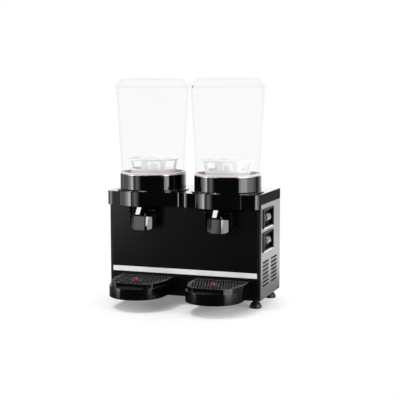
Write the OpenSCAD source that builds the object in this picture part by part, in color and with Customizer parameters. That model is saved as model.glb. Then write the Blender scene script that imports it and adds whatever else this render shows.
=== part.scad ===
// Twin-bowl cold drink dispenser: a black cabinet with two clear bowls on collars,
// a push tap under each bowl and a drip tray in front of each tap.
// X runs to the right, Y to the back and Z up; the origin is on the table under the middle.

/* [Cabinet] */
// Width over the two side panels
body_w = 400; // [380:1:440]
// Depth from the front panel's face to the rear edge
body_d = 183; // [175:1:210]
// Height of the side panels, from their lower edge to the deck
case_h = 236; // [225:1:260]
// Sheet metal thickness
sheet_t = 1.5; // [1:0.1:2]
// Width of the black post on each side of the front panel
post_w = 7; // [5:0.5:12]
// Depth of the posts and rails behind the front panel
post_d = 12; // [10:0.5:16]
// Height of a rail behind the front panel
rail_h = 12; // [8:0.5:16]
// Height of the base pan's upturned edges
pan_edge = 14; // [12:0.5:20]
// How far the rear panel sits inside the rear edge
rear_inset = 5; // [5:0.5:8]
// Width of the flange that carries the rear panel
rear_flange = 15; // [12:0.5:20]

/* [Trim strip] */
// Height of the metal strip
strip_h = 12.8; // [8:0.1:18]
// Thickness of the metal strip
strip_t = 1; // [0.8:0.1:1.5]
// Lower edge of the strip above the cabinet's lower edge
strip_rise = 55.6; // [50:0.1:70]

/* [Feet] */
// Height of a foot under the cabinet
foot_h = 22; // [18:0.5:30]
// Radius of a foot's base
foot_r = 15; // [12:0.5:18]
// Radius of a foot's stud
stud_r = 4; // [3:0.5:5]
// Length of the stud above the cabinet's lower edge
stud_len = 22; // [14:1:30]
// Distance of a foot from the side
foot_side = 19; // [17:0.5:30]
// Distance of the front feet from the front panel
foot_front = 25; // [20:0.5:40]
// Distance of the rear feet from the rear edge
foot_rear = 25; // [24:0.5:40]
// Height of a lock nut
nut_h = 6.5; // [5:0.5:8]

/* [Deck] */
// Height of the deck's band at the sides
band_h = 26; // [20:0.5:32]
// Height of the deck's skirt at the front
skirt_h = 35; // [30:0.5:42]
// Wall thickness of the deck
deck_t = 3; // [2:0.5:4]
// How far the straight skirt stands in front of the panel
deck_lip = 24; // [22:0.5:28]
// Radius of the round lobe in front of each bowl
lobe_r = 95; // [92:0.5:98]
// Radius of the front corners of each half of the deck
deck_corner = 20; // [18:0.5:22]
// Depth of the groove between the deck's halves
deck_groove = 12; // [8:0.5:14]

/* [Cold wells] */
// Distance of each bowl's axis from the middle
well_x = 100; // [97:0.5:106]
// Distance of each bowl's axis behind the front panel
well_y = 51; // [48:0.5:60]
// Radius of the collar
collar_r = 84; // [82:0.5:88]
// Height of the collar above the deck
collar_h = 40.5; // [38:0.5:48]
// Wall thickness of the collar
collar_t = 4; // [3:0.5:5]
// Radius of the collar's foot flange
flange_r = 91; // [88:0.5:94]
// Thickness of the collar's foot flange
flange_t = 2.5; // [2:0.1:4]
// Outer radius of the steel dish
dish_r = 77; // [75:0.5:78]
// Depth of the steel dish under the collar's top
dish_h = 24.5; // [20:0.5:28]
// Sheet thickness of the steel dish
dish_t = 1.5; // [1:0.1:2]
// Radius of the spindle in the dish
spindle_r = 5; // [4:0.5:6]
// Height of the spindle above the boss
spindle_h = 47; // [42:1:52]
// Radius of the hole in the deck under a dish
deck_hole_r = 46; // [42:0.5:48]

/* [Agitator] */
// Outer radius of the crown at its top
crown_top_r = 63; // [60:0.5:68]
// Outer radius of the crown at its foot
crown_foot_r = 51; // [48:0.5:54]
// Height of the crown
crown_h = 59; // [54:1:64]
// Wall thickness of the crown
crown_t = 2.5; // [2:0.1:4]
// Number of windows in the crown
crown_windows = 8; // [6:1:10]
// Width of a window in degrees
window_angle = 29; // [20:1:30]
// Height of a window
window_h = 20; // [14:0.5:24]
// Width of the band above the windows
window_top = 5; // [3:0.5:8]

/* [Stirrer drive] */
// Radius of the magnet disc
magnet_r = 34; // [30:0.5:38]
// Height of the magnet disc
magnet_h = 9; // [7:0.5:11]
// Radius of the drive shaft
shaft_r = 4; // [3:0.5:5]
// Radius of the stirrer motor
motor_r = 30; // [26:0.5:34]
// Height of the stirrer motor
motor_h = 40; // [32:1:48]
// Radius of the stirrer motor's flange
motor_flange_r = 56; // [54:0.5:57]

/* [Bowls] */
// Outer radius of a bowl at its foot
bowl_foot_r = 80.5; // [79:0.5:82]
// Outer radius of a bowl under its rim
bowl_top_r = 93; // [90:0.5:94]
// Outer radius of a bowl's rim
rim_r = 95; // [94.5:0.5:96.5]
// Height of a bowl
bowl_h = 216; // [190:1:240]
// Height of a bowl's rim
rim_h = 6.5; // [5:0.5:10]
// Wall thickness of a bowl
bowl_t = 3; // [2:0.5:4]
// Height of the seal ring under a bowl
seal_h = 4.5; // [4:0.5:7]
// Width of the seal ring
seal_w = 6; // [4:0.5:7]

/* [Lids] */
// Thickness of a lid
lid_t = 2.7; // [2:0.1:4]
// Height of the raised middle above the lid's rim
lid_rise = 15.5; // [10:0.5:20]
// Radius of the raised middle at its top
lid_top_r = 76; // [70:0.5:80]
// Radius of the raised middle at its foot
lid_foot_r = 86; // [82:0.5:88]
// Depth of the ring that centres a lid in its bowl
lid_ring_h = 6; // [4:0.5:8]

/* [Taps] */
// Width of a tap lever
lever_w = 70; // [66:0.5:72]
// Thickness of the lever's walls
lever_t = 3; // [2.5:0.5:3.5]
// Lower edge of the lever under the deck's skirt
lever_drop = 59; // [52:0.5:66]
// Height of the faceted paddle
paddle_h = 34; // [28:0.5:38]
// Width of the paddle's middle facet
paddle_flat = 24; // [16:0.5:28]
// Width of the two side facets together, seen from the front
paddle_side = 14.5; // [10:0.5:16]
// How far the side facets fall back
paddle_fall = 14.5; // [10:0.5:15]
// Lean of the paddle, lower edge to the front, in degrees
paddle_lean = 8; // [4:1:12]
// Front of the paddle before the front panel
paddle_front = 37; // [35:0.5:42]
// Radius of the lever's lower corners
lever_corner = 20; // [8:0.5:22]
// Radius of the tap's pivot pins
pin_r = 3; // [2:0.5:4]
// Distance of the pivot pins before the front panel
pivot_front = 20; // [18:0.5:22]
// Distance of the pivot pins under the deck's skirt
pivot_drop = 11; // [10:0.5:13]
// Width of the tap's nose
nose_w = 56; // [52:0.5:56]
// Height of the tap's nose
nose_h = 21; // [19:0.5:23]
// How far the nose reaches before the front panel
nose_front = 56; // [54:0.5:58]
// Width of the slanting rib on the nose
ramp_w = 11; // [8:0.5:16]
// Distance of the spout before the front panel
spout_front = 16; // [14:0.5:17]
// Outer radius of the spout
spout_r = 9.5; // [9:0.5:10]
// Bore radius of the spout
spout_bore = 6.5; // [6:0.5:7]
// Length of the spout under the nose
spout_len = 25; // [20:0.5:28]
// Outer radius of the outlet pipe
outlet_r = 8; // [7.5:0.5:9]
// Bore radius of the outlet pipe
outlet_bore = 5; // [4:0.5:5.5]
// Radius of the plunger's stem
stem_r = 2.5; // [2:0.1:3]
// Radius of the spring's wire
wire_r = 0.6; // [0.5:0.1:0.8]
// Turns of the plunger's spring
spring_turns = 7; // [5:1:8]

/* [Drip trays] */
// Reach of a tray before the front panel
tray_reach = 132; // [120:1:150]
// Radius of a tray's round front
tray_r = 70.5; // [70:0.5:84]
// Height of a tray's underside above the cabinet's lower edge
tray_rise = 9; // [6:0.5:14]
// Height of the tray's lower tier
tray_low_h = 27; // [22:0.5:32]
// Height of the tray's upper tier
tray_rim_h = 11; // [9:0.5:14]
// Wall thickness of a tray
tray_t = 2.5; // [2:0.5:3]
// Half width of the upper tier at the panel
tier_back = 68; // [62:0.5:71]
// Half width of the upper tier at its corners
tier_side = 54; // [48:0.5:55]
// Half width of the upper tier's straight front
tier_front = 42; // [36:0.5:43]
// Reach of the upper tier before the front panel
tier_reach = 116; // [100:1:117]
// Reach of the upper tier's corners
tier_corner = 104; // [92:1:106]
// Thickness of the grille
grille_t = 2.5; // [2:0.5:3]
// Width of a grille slot
slot_w = 2.6; // [2:0.1:3.5]
// Distance between grille slots
slot_pitch = 6.5; // [5.5:0.1:9]
// Radius of the red float
float_r = 5.5; // [4:0.5:7]
// Distance of the float before the front panel
float_front = 64; // [55:1:75]
// How far the float stands above the grille
float_proud = 2.5; // [1:0.5:4]

/* [Switches] */
// Width of a switch pocket
pocket_w = 96; // [80:1:100]
// Height of a switch pocket
pocket_h = 45; // [40:0.5:48]
// Depth of a switch pocket
pocket_depth = 8; // [6:0.5:10]
// Distance of the pockets' middle behind the front panel
pocket_y = 72.5; // [68:0.5:80]
// Distance of the upper pocket's middle under the deck's band
pocket_drop = 37.5; // [32:0.5:42]
// Height between the two pockets' middles
pocket_pitch = 58; // [57:0.5:62]
// Width of a rocker
rocker_w = 26; // [22:0.5:30]
// Height of a rocker
rocker_h = 19.6; // [16:0.2:22]
// Tilt of a rocker at rest, in degrees
rocker_tilt = 8; // [4:1:10]

/* [Louvres] */
// Length of a slot in the front column
louvre_front_len = 56; // [40:1:60]
// Length of a slot in the rear column
louvre_rear_len = 58; // [40:1:60]
// Start of the front column behind the front panel
louvre_front_y = 20; // [18:1:24]
// Start of the rear column behind the front panel
louvre_rear_y = 97; // [90:1:100]
// Height of a louvre slot
louvre_h = 4; // [3:0.5:5]
// Distance between louvre slots
louvre_pitch = 9.8; // [8.5:0.1:10]
// Height of the lowest slot above the cabinet's lower edge
louvre_low = 30.5; // [30:0.5:38]
// Number of slots in a column
louvre_count = 7; // [5:1:7]

/* [Cooling unit] */
// Radius of the compressor's shell
comp_r = 52; // [45:1:56]
// Height of the compressor's shell
comp_h = 124; // [100:1:140]
// Distance of the compressor left of the middle
comp_x = 95; // [85:1:110]
// Distance of the compressor's axis before the rear edge
comp_rear = 83; // [78:1:93]
// Thickness of the condenser
cond_w = 28; // [20:1:34]
// Length of the condenser
cond_l = 120; // [100:1:130]
// Height of the condenser
cond_h = 116; // [100:1:124]
// Radius of the fan
fan_r = 46; // [40:1:48]
// Height of the fan's axis above the cabinet's lower edge
fan_rise = 63; // [60:1:66]
// Number of fan blades
fan_blades = 5; // [4:1:7]
// Radius of the fan motor
fan_motor_r = 18; // [14:1:22]
// Length of the fan motor
fan_motor_l = 26; // [20:1:30]
// Radius of the refrigerant pipes
pipe_r = 3; // [2:0.5:4]

/* [Hidden] */
$fn = 48;

// Play between bodies that seat on each other
seat = 0.3;
// Radial play of a running fit
run = 0.05;
// Radial play of a fixed pin in its hole
pressed = 0.02;
// Overlap of cutting tools past a face
cut = 1;
// How far screw heads and switch boots stand out of the side panels
side_proud = 2;

// Heights, from the table up
base_z = foot_h;
pan_top = base_z + sheet_t;
case_top = base_z + case_h;
deck_top = case_top + band_h;
skirt_z = deck_top - skirt_h;
collar_top = deck_top + collar_h;
dish_z = collar_top - dish_h;
dish_floor = dish_z + dish_t;
rim_seat = collar_top + dish_t;
bowl_z = rim_seat + seal_h + seat;
bowl_top = bowl_z + bowl_h;
lid_z = bowl_top + seat;

// Planes of the cabinet, with the front panel's face at Y 0 before the shift
front_y = (tray_reach + seat - body_d) / 2;
half_w = body_w / 2;
inner_x = half_w - sheet_t;
panel_half = inner_x - post_w;
rear_plane = body_d - rear_inset;
rear_skin = rear_plane - sheet_t;
flange_y = rear_skin - sheet_t;

// Feet at the four corners
foot_x = half_w - foot_side;
foot_ys = [foot_front, body_d - foot_rear];
stud_hole_r = stud_r + seat;
foot_neck = stud_r + 2;
foot_chamfer = 1;
foot_band = 3.5;
foot_bell = 16;
nut_r = stud_r + 3.5;

// Boss under the agitator, and the agitator's own heights
boss_r = 12;
boss_h = 3;
hub_z = dish_floor + boss_h + seat;
hub_r = spindle_r + 6;
crown_z = hub_z + seat;
spoke_h = 5;
spoke_w = 10;
spoke_l = 2 * crown_foot_r - crown_t;
dish_rim_r = collar_r - 1;
seal_r = collar_r - 1.5;

// Stirrer drive, hung under the deck
plate_under = deck_top - deck_t;
motor_flange_t = 3;
motor_top = plate_under - motor_flange_t;
magnet_gap = 3;
magnet_z = dish_z - magnet_gap - magnet_h;
magnet_room = 6;
shaft_in_motor = 16;

// Tap heights
pivot_z = skirt_z - pivot_drop;
lever_bottom = skirt_z - lever_drop;
paddle_top = lever_bottom + paddle_h;
nose_z = skirt_z - nose_h;
spout_z = nose_z - spout_len;
ramp_run = 14;
nose_lip = 3;
nose_shoulder = 2;
valve_floor = 3;
valve_roof = 9;
valve_z = spout_z + valve_floor;
valve_top = skirt_z - valve_roof;
mouth_bore = outlet_bore - 0.5;
pin_wall = 8;
pin_depth = nose_w / 2 - spout_bore - pin_wall;
plunger_head_h = 6;
plunger_z = valve_z + seat;
stem_gap = 2;
spring_z = plunger_z + plunger_head_h + wire_r + seat;
spring_len = valve_top - seat - wire_r - spring_z;
spring_r = (stem_r + spout_bore) / 2;
coil_rings = 8;
coil_sides = 6;
fold_share = 0.45;
fold_fall = 0.37;
cheek_in = nose_w / 2 + 1.5;
cheek_r = 8;
cheek_flat = 0.7 * cheek_r;
cheek_fall = 1;
cheek_skin = 1.5;

// Drip tray heights
tray_z = base_z + tray_rise;
tier_z = tray_z + tray_low_h;
tray_top = tier_z + tray_rim_h;
grille_sink = 0.5;
grille_z = tray_top - grille_t - grille_sink;
ledge_w = 3;
ledge_h = 3;
tab_w = 24;
tab_h = 9;
tab_l = 6;
tab_play = 0.4;
tab_x = 40;
tab_rise = 12;
tab_z = tray_z + tab_rise;
puck_r = 14;
puck_h = 8;

// Switch pocket planes, measured in from the side panel's inner face
bezel_lap = 4;
bezel_t = 2.5;
bezel_wall = 3;
rocker_play = 1.4;
rocker_pin_r = 1.5;
rocker_tip = 6.5;
rocker_dip = 4;
rocker_flank = 1;
rocker_back = 5;
rocker_waist = 4;
housing_t = 1.5;
housing_depth = 14;
boot_t = 1.2;
boot_margin = 2.2;
rocker_axis = pocket_depth + bezel_t + rocker_pin_r * 0.2;
pocket_zs = [case_top - pocket_drop - pocket_pitch, case_top - pocket_drop];

// Cooling unit planes
fan_play = 1.5;
fan_gap = pocket_depth + bezel_t + housing_depth + fan_play;
fan_depth = 16;
fan_x = inner_x - fan_gap - fan_depth;
fan_lead = 9;
fan_y = louvre_rear_y - fan_lead;
fan_z = base_z + fan_rise;
fan_shaft_r = 2.5;
fan_hub_r = 10;
blade_pitch = 30;
blade_t = 1.6;
blade_play = 1.5;
motor_gap = 2;
fan_motor_x = fan_x - motor_gap - fan_motor_l;
bracket_l = 8;
bracket_h = 16;
cond_x = fan_motor_x - bracket_l - cond_w;
cond_lag = 2;
cond_y = fan_y - cond_l / 2 + cond_lag;
fin_t = 3;
fin_pitch = 8;
fin_edge = 6;
comp_y = body_d - comp_rear;
comp_plate_t = 3;
comp_ears = 20;
comp_top = pan_top + comp_plate_t + comp_h;
cond_top = pan_top + cond_h;
riser_inset = 7;
riser_y = well_y + dish_r - riser_inset;
pipe_play = 0.4;
port_step = 15;
discharge_z = max(comp_top, cond_top) + port_step;
header_step = 35;
header_z = discharge_z + header_step;

// Screws and inlet
screw_r = 1.5;
screw_head_r = 3;
screw_play = 0.1;
screw_l = 5;
side_screw_front = 18.6;
side_screw_rear = 24.5;
side_screw_ys = [side_screw_front, body_d - side_screw_rear];
side_screw_z = base_z + pan_edge / 2;
rear_screw_x = inner_x - rear_flange / 2;
rear_screw_edge = 12;
rear_screw_zs = [base_z + pan_edge + rear_screw_edge, case_top - rear_screw_edge];
inlet_side = 78.5;
inlet_rise = 40;
inlet_x = inlet_side - inner_x;
inlet_z = base_z + inlet_rise;
inlet_w = 27;
inlet_h = 20;
inlet_depth = 18;
inlet_wall = 2;
inlet_flange = [50, 28, 2];
inlet_pin = [2, 10, 4];
inlet_pin_x = 7;
vent_l = 90;
vent_x = 67.5;

// Shift everything from the front panel's face to the middle of the footprint
module at_front() translate([0, front_y, 0]) children();

// Axis of one bowl: side is -1 for the left and 1 for the right
module at_well(side) at_front() translate([side * well_x, well_y, 0]) children();

// Axis of one tap, on the front panel's plane
module at_tap(side) at_front() translate([side * well_x, 0, 0]) children();

// Ring standing on z
module ring(r_out, r_in, z, h) {
    translate([0, 0, z]) difference() {
        cylinder(r = r_out, h = h);
        translate([0, 0, -cut]) cylinder(r = r_in, h = h + 2 * cut);
    }
}

// Extrude a drawing of the Y-Z plane along X, centred on X 0
module along_x(w) translate([-w / 2, 0, 0]) rotate([90, 0, 90]) linear_extrude(height = w) children();

// Slots of one column in a side panel, drawn in Y and Z
module louvre_column(y, len) {
    for (i = [0 : louvre_count - 1])
        translate([y, base_z + louvre_low + i * louvre_pitch]) square([len, louvre_h]);
}

// Shallow sheet tray under the cabinet
module base_pan() {
    w = 2 * inner_x;
    y0 = post_d + seat;
    d = flange_y - seat - y0;
    color("dimgray") at_front() difference() {
        translate([-w / 2, y0, base_z]) difference() {
            cube([w, d, pan_edge]);
            translate([sheet_t, sheet_t, sheet_t]) cube([w - 2 * sheet_t, d - 2 * sheet_t, pan_edge]);
        }
        for (sx = [-1, 1], y = foot_ys)
            translate([sx * foot_x, y, base_z - cut]) cylinder(r = stud_hole_r, h = sheet_t + 2 * cut);
        for (sx = [-1, 1], y = side_screw_ys)
            translate([sx * inner_x, y, side_screw_z]) rotate([0, 90, 0])
                cylinder(r = screw_r + screw_play, h = 4 * sheet_t, center = true);
    }
}

// Black post at one side of the front panel
module front_post(side) {
    x0 = side > 0 ? panel_half : -inner_x;
    color("black") at_front() translate([x0, 0, base_z]) cube([post_w, post_d, case_h]);
}

// Rail between the posts, behind the front panel
module frame_rail(z) {
    color("black") at_front() translate([-panel_half, sheet_t, z])
        cube([2 * panel_half, post_d - sheet_t, rail_h]);
}

// Painted front sheet with slots for the tabs of the drip trays
module front_panel() {
    color([0.06, 0.06, 0.07]) at_front() difference() {
        translate([-panel_half, 0, base_z]) cube([2 * panel_half, sheet_t, case_h]);
        for (side = [-1, 1], sx = [-1, 1])
            translate([side * well_x + sx * tab_x - tab_w / 2 - tab_play, -cut, tab_z - tab_play])
                cube([tab_w + 2 * tab_play, sheet_t + 2 * cut, tab_h + 2 * tab_play]);
    }
}

// Bare metal strip across the front
module trim_strip() {
    color("silver") at_front() translate([-panel_half, -strip_t, base_z + strip_rise])
        cube([2 * panel_half, strip_t, strip_h]);
}

// Side sheet with louvres, a rear flange and, on the right, the switch windows
module side_panel(side, windows) {
    x0 = side > 0 ? inner_x : -half_w;
    flange_x = side > 0 ? inner_x - rear_flange : -inner_x;
    color([0.7, 0.69, 0.71]) at_front() difference() {
        union() {
            translate([x0, 0, 0]) rotate([90, 0, 90]) linear_extrude(height = sheet_t) difference() {
                translate([0, base_z]) square([body_d, case_h]);
                louvre_column(louvre_front_y, louvre_front_len);
                louvre_column(louvre_rear_y, louvre_rear_len);
                if (windows) for (z = pocket_zs)
                    translate([pocket_y, z]) square([pocket_w, pocket_h], center = true);
            }
            translate([flange_x, flange_y, base_z]) cube([rear_flange, sheet_t, case_h]);
        }
        for (y = side_screw_ys) translate([side * half_w, y, side_screw_z]) rotate([0, 90, 0])
            cylinder(r = screw_r + screw_play, h = 4 * sheet_t, center = true);
        for (z = rear_screw_zs) translate([side * rear_screw_x, flange_y, z]) rotate([90, 0, 0])
            cylinder(r = screw_r + screw_play, h = 4 * sheet_t, center = true);
    }
}

// Rear sheet with vent slots and the inlet's window
module rear_panel() {
    color("dimgray") at_front() difference() {
        translate([-inner_x, rear_plane, base_z]) rotate([90, 0, 0]) linear_extrude(height = sheet_t)
            difference() {
                square([2 * inner_x, case_h]);
                for (sx = [-1, 1], i = [0 : louvre_count])
                    translate([inner_x + sx * vent_x - vent_l / 2, case_h / 2 + i * louvre_pitch])
                        square([vent_l, louvre_h]);
                translate([inner_x + inlet_x, inlet_z - base_z])
                    square([inlet_w + 2 * seat, inlet_h + 2 * seat], center = true);
            }
        for (sx = [-1, 1], z = rear_screw_zs) translate([sx * rear_screw_x, rear_plane, z])
            rotate([90, 0, 0]) cylinder(r = screw_r + screw_play, h = 4 * sheet_t, center = true);
    }
}

// Plan of the deck, drawn in by inset: two halves with round front corners and a lobe each
module deck_plan(inset) {
    c = deck_corner;
    w = half_w - inset;
    front = -deck_lip + inset;
    arc_y = -deck_lip + c;
    back = body_d - inset;
    translate([-w, arc_y]) square([2 * w, back - arc_y]);
    translate([-c + inset, -deck_lip + deck_groove + inset]) square([2 * (c - inset), c]);
    for (sx = [-1, 1]) {
        translate([sx * half_w / 2 - half_w / 2 + c, front]) square([half_w - 2 * c, arc_y - front + cut]);
        for (x = [c, half_w - c]) translate([sx * x, arc_y]) circle(r = c - inset);
        translate([sx * well_x, well_y]) circle(r = lobe_r - inset);
    }
}

// Gloss black moulding on top of the cabinet, hollow from below
module top_deck() {
    color([0.03, 0.03, 0.035]) at_front() difference() {
        union() {
            translate([0, 0, case_top]) linear_extrude(height = band_h) deck_plan(0);
            translate([0, 0, skirt_z]) linear_extrude(height = skirt_h - cut) intersection() {
                deck_plan(0);
                translate([-body_w, -body_d]) square([2 * body_w, body_d]);
            }
        }
        translate([0, 0, skirt_z + deck_t]) linear_extrude(height = skirt_h - 2 * deck_t) intersection() {
            deck_plan(deck_t);
            translate([-body_w, -body_d]) square([2 * body_w, body_d + deck_t]);
        }
        translate([0, 0, case_top - cut]) linear_extrude(height = band_h - deck_t + cut) intersection() {
            deck_plan(deck_t);
            translate([-body_w, 0]) square([2 * body_w, body_d]);
        }
        for (side = [-1, 1]) {
            translate([side * well_x, well_y, deck_top - deck_t - cut])
                cylinder(r = deck_hole_r, h = deck_t + 2 * cut);
            translate([side * well_x, riser_y, deck_top - deck_t - cut])
                cylinder(r = pipe_r + pipe_play, h = deck_t + 2 * cut);
            translate([side * well_x, -spout_front, skirt_z - cut])
                cylinder(r = outlet_r + seat, h = skirt_h + 2 * cut);
        }
    }
}

// Gloss black ring under a bowl, with a thin foot flange
module collar(side) {
    color([0.03, 0.03, 0.035]) at_well(side) union() {
        ring(collar_r, collar_r - collar_t, deck_top, collar_h);
        ring(flange_r, collar_r - collar_t, deck_top, flange_t);
    }
}

// Foam between the collar and the steel dish
module insulation(side) {
    r = collar_r - collar_t - seat;
    color("khaki") at_well(side) difference() {
        translate([0, 0, deck_top]) cylinder(r = r, h = collar_h - seat);
        translate([0, 0, dish_z - seat]) cylinder(r = dish_r + seat, h = dish_h + cut);
        translate([0, 0, deck_top - cut]) cylinder(r = magnet_r + magnet_room, h = collar_h);
        translate([0, riser_y - well_y, deck_top - cut]) cylinder(r = pipe_r + pipe_play, h = collar_h);
        translate([0, -spout_front - well_y, deck_top - cut]) cylinder(r = outlet_r + seat, h = collar_h);
    }
}

// Steel dish that forms the cold floor of a bowl, with the agitator's spindle
module evaporator(side) {
    color("lightgray") at_well(side) union() {
        difference() {
            union() {
                translate([0, 0, dish_z]) cylinder(r = dish_r, h = dish_h + dish_t);
                translate([0, 0, collar_top]) cylinder(r = dish_rim_r, h = dish_t);
            }
            translate([0, 0, dish_floor]) cylinder(r = dish_r - dish_t, h = dish_h + dish_t);
            translate([0, -spout_front - well_y, dish_z - cut])
                cylinder(r = outlet_bore, h = dish_t + 2 * cut);
        }
        translate([0, 0, dish_floor]) cylinder(r = boss_r, h = boss_h);
        translate([0, 0, dish_floor + boss_h]) cylinder(r = spindle_r, h = spindle_h);
    }
}

// White crown with windows that turns on the spindle and stirs the drink
module agitator(side) {
    window_z = crown_z + crown_h - window_top - window_h;
    half = crown_top_r * tan(window_angle / 2);
    color([0.88, 0.88, 0.9]) at_well(side) {
        difference() {
            union() {
                translate([0, 0, crown_z]) rotate_extrude() polygon([
                    [crown_foot_r - crown_t, 0], [crown_foot_r, 0],
                    [crown_top_r, crown_h], [crown_top_r - crown_t, crown_h]]);
                for (a = [0, 90]) rotate([0, 0, a]) translate([-spoke_l / 2, -spoke_w / 2, crown_z])
                    cube([spoke_l, spoke_w, spoke_h]);
                translate([0, 0, hub_z]) cylinder(r = hub_r, h = spindle_h - seat);
            }
            translate([0, 0, hub_z - cut]) cylinder(r = spindle_r + run, h = spindle_h + 2 * cut);
            for (i = [0 : crown_windows - 1]) rotate([0, 0, (i + 0.5) * 360 / crown_windows])
                translate([crown_foot_r - 2 * crown_t, -half, window_z])
                    cube([crown_top_r, 2 * half, window_h]);
        }
    }
}

// Magnet disc with its shaft, turned by the stirrer motor
module drive_magnet(side) {
    color("slategray") at_well(side) union() {
        translate([0, 0, magnet_z]) cylinder(r = magnet_r, h = magnet_h);
        translate([0, 0, motor_top - shaft_in_motor])
            cylinder(r = shaft_r, h = magnet_z - motor_top + shaft_in_motor + cut);
    }
}

// Motor hung under the deck by its flange
module stirrer_motor(side) {
    color("gray") at_well(side) difference() {
        union() {
            translate([0, 0, motor_top - motor_h]) cylinder(r = motor_r, h = motor_h);
            translate([0, 0, motor_top]) cylinder(r = motor_flange_r, h = motor_flange_t);
        }
        translate([0, 0, motor_top - shaft_in_motor - seat])
            cylinder(r = shaft_r + run, h = shaft_in_motor + motor_flange_t + 2 * cut);
    }
}

// Soft ring between the dish's rim and a bowl
module bowl_seal(side) {
    color([0.85, 0.72, 0.7]) at_well(side)
        ring(seal_r, seal_r - seal_w, rim_seat, seal_h);
}

// Clear tapered bowl, open below over the dish, with a rim
module bowl(side) {
    color([0.9, 0.95, 1, 0.35]) at_well(side) translate([0, 0, bowl_z]) rotate_extrude() polygon([
        [bowl_foot_r - bowl_t, 0], [bowl_foot_r, 0], [bowl_top_r, bowl_h - rim_h], [rim_r, bowl_h - rim_h],
        [rim_r, bowl_h], [bowl_top_r - bowl_t, bowl_h], [bowl_top_r - bowl_t, bowl_h - rim_h]]);
}

// Clear lid with a raised middle and a ring that drops into the bowl
module lid(side) {
    ring_r = bowl_top_r - bowl_t - seat;
    top = lid_t + lid_rise;
    color([0.9, 0.95, 1, 0.35]) at_well(side) translate([0, 0, lid_z]) rotate_extrude() polygon([
        [0, top - lid_t], [lid_top_r - lid_t, top - lid_t], [lid_foot_r - lid_t, 0], [ring_r - lid_t, 0],
        [ring_r - lid_t, -lid_ring_h], [ring_r, -lid_ring_h], [ring_r, 0], [rim_r, 0],
        [rim_r, lid_t], [lid_foot_r, lid_t], [lid_top_r, top], [0, top]]);
}

// Black valve block under a lobe: nose, spout and outlet pipe
module tap_body(side) {
    half = nose_w / 2;
    back = -spout_front + outlet_r;
    shoulder = -pivot_front - nose_shoulder;
    color([0.03, 0.03, 0.035]) at_tap(side) difference() {
        union() {
            translate([-half, shoulder, nose_z]) cube([nose_w, back - shoulder, nose_h]);
            along_x(ramp_w) polygon([[back, skirt_z], [-nose_front + ramp_run, skirt_z],
                [-nose_front, nose_z + nose_lip], [-nose_front, nose_z], [back, nose_z]]);
            translate([0, -spout_front, spout_z]) cylinder(r = spout_r, h = spout_len + cut);
            translate([0, -spout_front, skirt_z - cut]) cylinder(r = outlet_r, h = dish_z - skirt_z + cut);
        }
        translate([0, -spout_front, valve_z]) cylinder(r = spout_bore, h = valve_top - valve_z);
        translate([0, -spout_front, spout_z - cut]) cylinder(r = mouth_bore, h = valve_floor + 2 * cut);
        translate([0, -spout_front, valve_top - cut])
            cylinder(r = outlet_bore, h = dish_z - valve_top + 2 * cut);
        for (sx = [-1, 1]) translate([sx * half, -pivot_front, pivot_z]) rotate([0, 90, 0])
            cylinder(r = pin_r + pressed, h = 2 * pin_depth, center = true);
    }
}

// Two stub pins that carry one lever
module tap_pins(side) {
    pin_end = lever_w / 2 - cheek_skin - seat;
    color("silver") at_tap(side) for (sx = [-1, 1]) {
        x0 = sx > 0 ? nose_w / 2 - pin_depth : -pin_end;
        translate([x0, -pivot_front, pivot_z]) rotate([0, 90, 0])
            cylinder(r = pin_r, h = pin_end - nose_w / 2 + pin_depth);
    }
}

// Front outline of a lever: a U with round lower corners
module lever_outline() {
    c = lever_corner;
    half = lever_w / 2;
    translate([-half, lever_bottom + c]) square([lever_w, pivot_z + cheek_r - lever_bottom - c]);
    translate([-half + c, lever_bottom]) square([lever_w - 2 * c, c + cut]);
    for (sx = [-1, 1]) translate([sx * (half - c), lever_bottom + c]) circle(r = c);
}

// Black push lever: a faceted paddle between two cheeks on the pivot pins
module tap_lever(side) {
    half = lever_w / 2;
    flat = paddle_flat / 2;
    fold = flat + fold_share * paddle_side;
    dip = fold_fall * paddle_fall;
    shoulder = flat + paddle_side;
    t = lever_t;
    edge = paddle_fall + cheek_fall;
    reach = paddle_front - pivot_front;
    color([0.03, 0.03, 0.035]) at_tap(side) difference() {
        intersection() {
            translate([0, cut, 0]) rotate([90, 0, 0]) linear_extrude(height = 2 * paddle_front)
                lever_outline();
            union() {
                translate([0, -paddle_front, paddle_top]) rotate([-paddle_lean, 0, 0])
                    translate([0, 0, -2 * paddle_h]) linear_extrude(height = 2 * paddle_h) polygon([
                        [-half, edge], [-shoulder, paddle_fall], [-fold, dip], [-flat, 0],
                        [flat, 0], [fold, dip], [shoulder, paddle_fall], [half, edge],
                        [half, edge + t], [shoulder, paddle_fall + t], [fold, dip + t], [flat, t],
                        [-flat, t], [-fold, dip + t], [-shoulder, paddle_fall + t], [-half, edge + t]]);
                for (sx = [-1, 1]) translate([sx * (cheek_in + half) / 2, -pivot_front, pivot_z]) {
                    rotate([0, 90, 0]) cylinder(r = cheek_r, h = half - cheek_in, center = true);
                    along_x(half - cheek_in) polygon([[cheek_r, 0], [0, cheek_r], [-cheek_flat, cheek_flat],
                        [-reach + edge - t, paddle_top - pivot_z],
                        [-reach + edge - 2 * t, lever_bottom - pivot_z],
                        [-reach + edge + t, lever_bottom - pivot_z], [cheek_flat, -cheek_flat]]);
                }
            }
        }
        for (sx = [-1, 1]) translate([sx * cheek_in, -pivot_front, pivot_z]) rotate([0, 90, 0])
            cylinder(r = pin_r + run, h = 2 * (half - cheek_skin - cheek_in), center = true);
    }
}

// Valve plunger that closes the spout
module tap_plunger(side) {
    color("white") at_tap(side) translate([0, -spout_front, plunger_z]) union() {
        cylinder(r = spout_bore - seat, h = plunger_head_h);
        cylinder(r = stem_r, h = valve_top - plunger_z - stem_gap);
    }
}

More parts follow.
